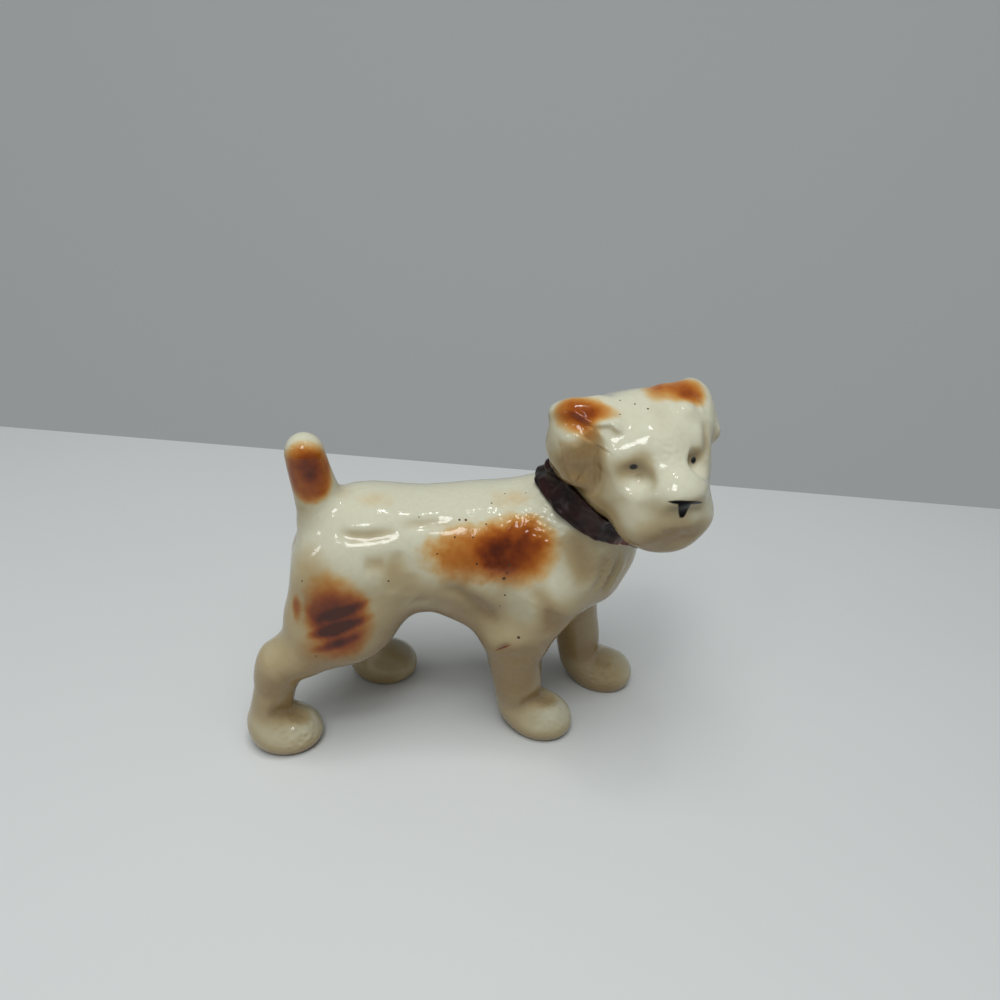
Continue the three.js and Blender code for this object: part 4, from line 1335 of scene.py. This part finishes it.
def make_light(name, at, size, power, mirrored):
    """A rectangular lamp aimed at the figure's middle."""
    data = bpy.data.lights.new(name, "AREA")
    data.shape = "RECTANGLE"
    data.size, data.size_y = (v * MM for v in size)
    data.energy = power
    made = new_object(name, data)
    start, end = Vector(in_frame(at)), Vector(in_frame(FIGURE_MIDDLE))
    turn = (end - start).to_track_quat("-Z", "Y").to_matrix().to_4x4()
    made.matrix_world = Matrix.Translation(start) @ turn
    made.visible_glossy = mirrored


def make_stage():
    """Table with its far edge where the photograph has it, backdrop, lamps, world and view."""
    scene = bpy.context.scene
    settings = scene.terrier_stage
    left, right = on_table(EDGE_LEFT), on_table(EDGE_RIGHT)
    along = (right - left) / np.linalg.norm(right - left)
    back = np.array([-along[1], along[0], 0])
    ends = [(left + right) / 2 + along * far for far in (-TABLE_SIDE, TABLE_SIDE)]
    near = [end - back * TABLE_NEAR for end in ends]
    flat_sheet("table", [*near, *ends[::-1]], plain_material("pale table", settings.table, *TABLE_FINISH))
    low, high = (back * BACKDROP_BEHIND + (0, 0, z) for z in (BACKDROP_LOW, BACKDROP_HIGH))
    wall = plain_material("grey backdrop", settings.backdrop, *BACKDROP_FINISH)
    show_in_picture(wall, settings.backdrop)
    flat_sheet("backdrop", [ends[0] + low, ends[1] + low, ends[1] + high, ends[0] + high], wall)
    for name, (at, size, power, mirrored) in LAMPS.items():
        make_light(name, at, size, power * settings.lamps, mirrored)
    scene.world = bpy.data.worlds.new("studio")
    scene.world.use_nodes = True
    air = {"Color": (*settings.air, 1), "Strength": settings.air_strength}
    fill(scene.world.node_tree, scene.world.node_tree.nodes["Background"], air)
    scene.view_settings.view_transform = "Standard"


def colour_setting(name, description, default):
    """A colour in the sidebar."""
    return FloatVectorProperty(name=name, description=description, default=default, subtype="COLOR")


def size_setting(name, description, default, least=0.0):
    """A length in the sidebar, in metres."""
    return FloatProperty(
        name=name, description=description, default=default, min=least, unit="LENGTH", precision=5
    )


def share_setting(name, description, default, **limits):
    """A plain number in the sidebar, zero or more."""
    return FloatProperty(name=name, description=description, default=default, min=0, **limits)


class TERRIER_PG_clay(bpy.types.PropertyGroup):
    body_facet: size_setting("Body facet", "Size of the facets of the body's skin", 0.0005, 0.0002)
    head_facet: size_setting("Head facet", "Size of the facets of the head's skin", 0.00036, 0.0002)
    relief: share_setting("Relief", "Depth of the modelling strokes, as a share of their heights", 1)
    ripple: size_setting("Ripple", "Height of the clay's low waves", 0.00008)


class TERRIER_PG_glaze(bpy.types.PropertyGroup):
    cream: colour_setting("Cream", "Colour of the glaze on the back and the head", (0.60, 0.60, 0.46))
    # These two colours are the glaze's deeper tone and its painted shade
    low: colour_setting("Shaded cream", "Colour of the glaze towards the table and in its painted shade", (0.43, 0.345, 0.19))
    pooled_and_shade: colour_setting("Pooled glaze and shade", "Colour of the pooled glaze and the deepest painted shade", (0.27, 0.175, 0.07))
    speck: colour_setting("Speck", "Colour of the iron specks", (0.07, 0.03, 0.012))
    roughness: share_setting("Roughness", "Roughness of the glaze", 0.06, max=1)


class TERRIER_PG_collar(bpy.types.PropertyGroup):
    brown: colour_setting("Brown", "Colour of the paint where it is thin", (0.028, 0.008, 0.006))
    dark: colour_setting("Dark brown", "Colour of the paint where it is thick", (0.010, 0.004, 0.0035))
    thin: colour_setting("Thin brown", "Colour where the clay shows through", (0.13, 0.028, 0.014))
    lumps: size_setting("Lumps", "Height of the collar's rough modelling", 0.00025)


class TERRIER_PG_stage(bpy.types.PropertyGroup):
    table: colour_setting("Table", "Colour of the table", (0.70, 0.73, 0.72))
    backdrop: colour_setting("Backdrop", "Colour of the backdrop", (0.22, 0.23, 0.23))
    air: colour_setting("Air", "Colour of the light from all round", (0.93, 0.96, 1.0))
    air_strength: share_setting("Air strength", "Strength of the light from all round", 0.24)
    lamps: share_setting("Lamps", "Strength of the lamps, as a share of their own powers", 1)


def make_pieces(pieces, names, material):
    """Puts pieces into the scene under their glaze."""
    for name in names:
        piece_from(name, *pieces[name], material, GLAZE_SLOT)
    return {"FINISHED"}


def clay_settings(facet):
    """A facet, the relief and the ripple, in millimetres."""
    clay = bpy.context.scene.terrier_clay
    widen = 1.0
    return facet / MM * widen, clay.relief, clay.ripple / MM


class TERRIER_OT_torso_and_tail(bpy.types.Operator):
    """Models the torso with its belly vent, and the tail luted to it."""

    bl_idname = "terrier.torso_and_tail"
    bl_label = "Torso and tail"

    def execute(self, context):
        pieces = body_pieces(*clay_settings(context.scene.terrier_clay.body_facet))
        return make_pieces(pieces, ("torso", "tail"), glaze_material("body glaze"))


class TERRIER_OT_legs(bpy.types.Operator):
    """Models the four legs with their paws."""

    bl_idname = "terrier.legs"
    bl_label = "Legs"

    def execute(self, context):
        pieces = body_pieces(*clay_settings(context.scene.terrier_clay.body_facet))
        return make_pieces(pieces, LEGS, glaze_material("body glaze"))


class TERRIER_OT_head_and_ears(bpy.types.Operator):
    """Models the head with its painted face, and the two folded ears."""

    bl_idname = "terrier.head_and_ears"
    bl_label = "Head and ears"

    def execute(self, context):
        pieces = head_pieces(*clay_settings(context.scene.terrier_clay.head_facet))
        return make_pieces(pieces, pieces, glaze_material("head glaze", True))


class TERRIER_OT_collar(bpy.types.Operator):
    """Models the collar round the neck."""

    bl_idname = "terrier.collar"
    bl_label = "Collar"

    def execute(self, context):
        lumps = context.scene.terrier_collar.lumps / MM
        paint = collar_material("brown collar paint")
        piece_from("collar", *collar_skin(lumps), paint, COLLAR_SLOT)
        return {"FINISHED"}


class TERRIER_OT_stage(bpy.types.Operator):
    """Sets up the table, the backdrop, the lamps and the camera."""

    bl_idname = "terrier.stage"
    bl_label = "Stage"

    def execute(self, context):
        make_camera()
        make_stage()
        return {"FINISHED"}


class TERRIER_PT_panel(bpy.types.Panel):
    """Lists the figurine's settings and steps in the sidebar."""

    bl_idname = "TERRIER_PT_panel"
    bl_label = "Porcelain Terrier"
    bl_space_type = "VIEW_3D"
    bl_region_type = "UI"
    bl_category = "Terrier"

    def draw(self, context):
        for group, steps in SIDEBAR.items():
            box = self.layout.box()
            settings = getattr(context.scene, group)
            for name in settings.__annotations__:
                box.prop(settings, name)
            for step in steps:
                box.operator(step.bl_idname)


SETTINGS = {
    "terrier_clay": TERRIER_PG_clay,
    "terrier_glaze": TERRIER_PG_glaze,
    "terrier_collar": TERRIER_PG_collar,
    "terrier_stage": TERRIER_PG_stage,
}
SIDEBAR = {
    "terrier_clay": [TERRIER_OT_torso_and_tail, TERRIER_OT_legs],
    "terrier_glaze": [TERRIER_OT_head_and_ears],
    "terrier_collar": [TERRIER_OT_collar],
    "terrier_stage": [TERRIER_OT_stage],
}
OPERATORS = [step for steps in SIDEBAR.values() for step in steps]
CLASSES = [*SETTINGS.values(), *OPERATORS, TERRIER_PT_panel]


def register():
    for made in CLASSES:
        bpy.utils.register_class(made)
    for name, made in SETTINGS.items():
        setattr(bpy.types.Scene, name, PointerProperty(type=made))


def unregister():
    for name in SETTINGS:
        delattr(bpy.types.Scene, name)
    for made in reversed(CLASSES):
        bpy.utils.unregister_class(made)


def main():
    register()
    bpy.ops.terrier.torso_and_tail()
    bpy.ops.terrier.legs()
    bpy.ops.terrier.head_and_ears()
    bpy.ops.terrier.collar()
    bpy.ops.terrier.stage()


if __name__ == "__main__":
    main()
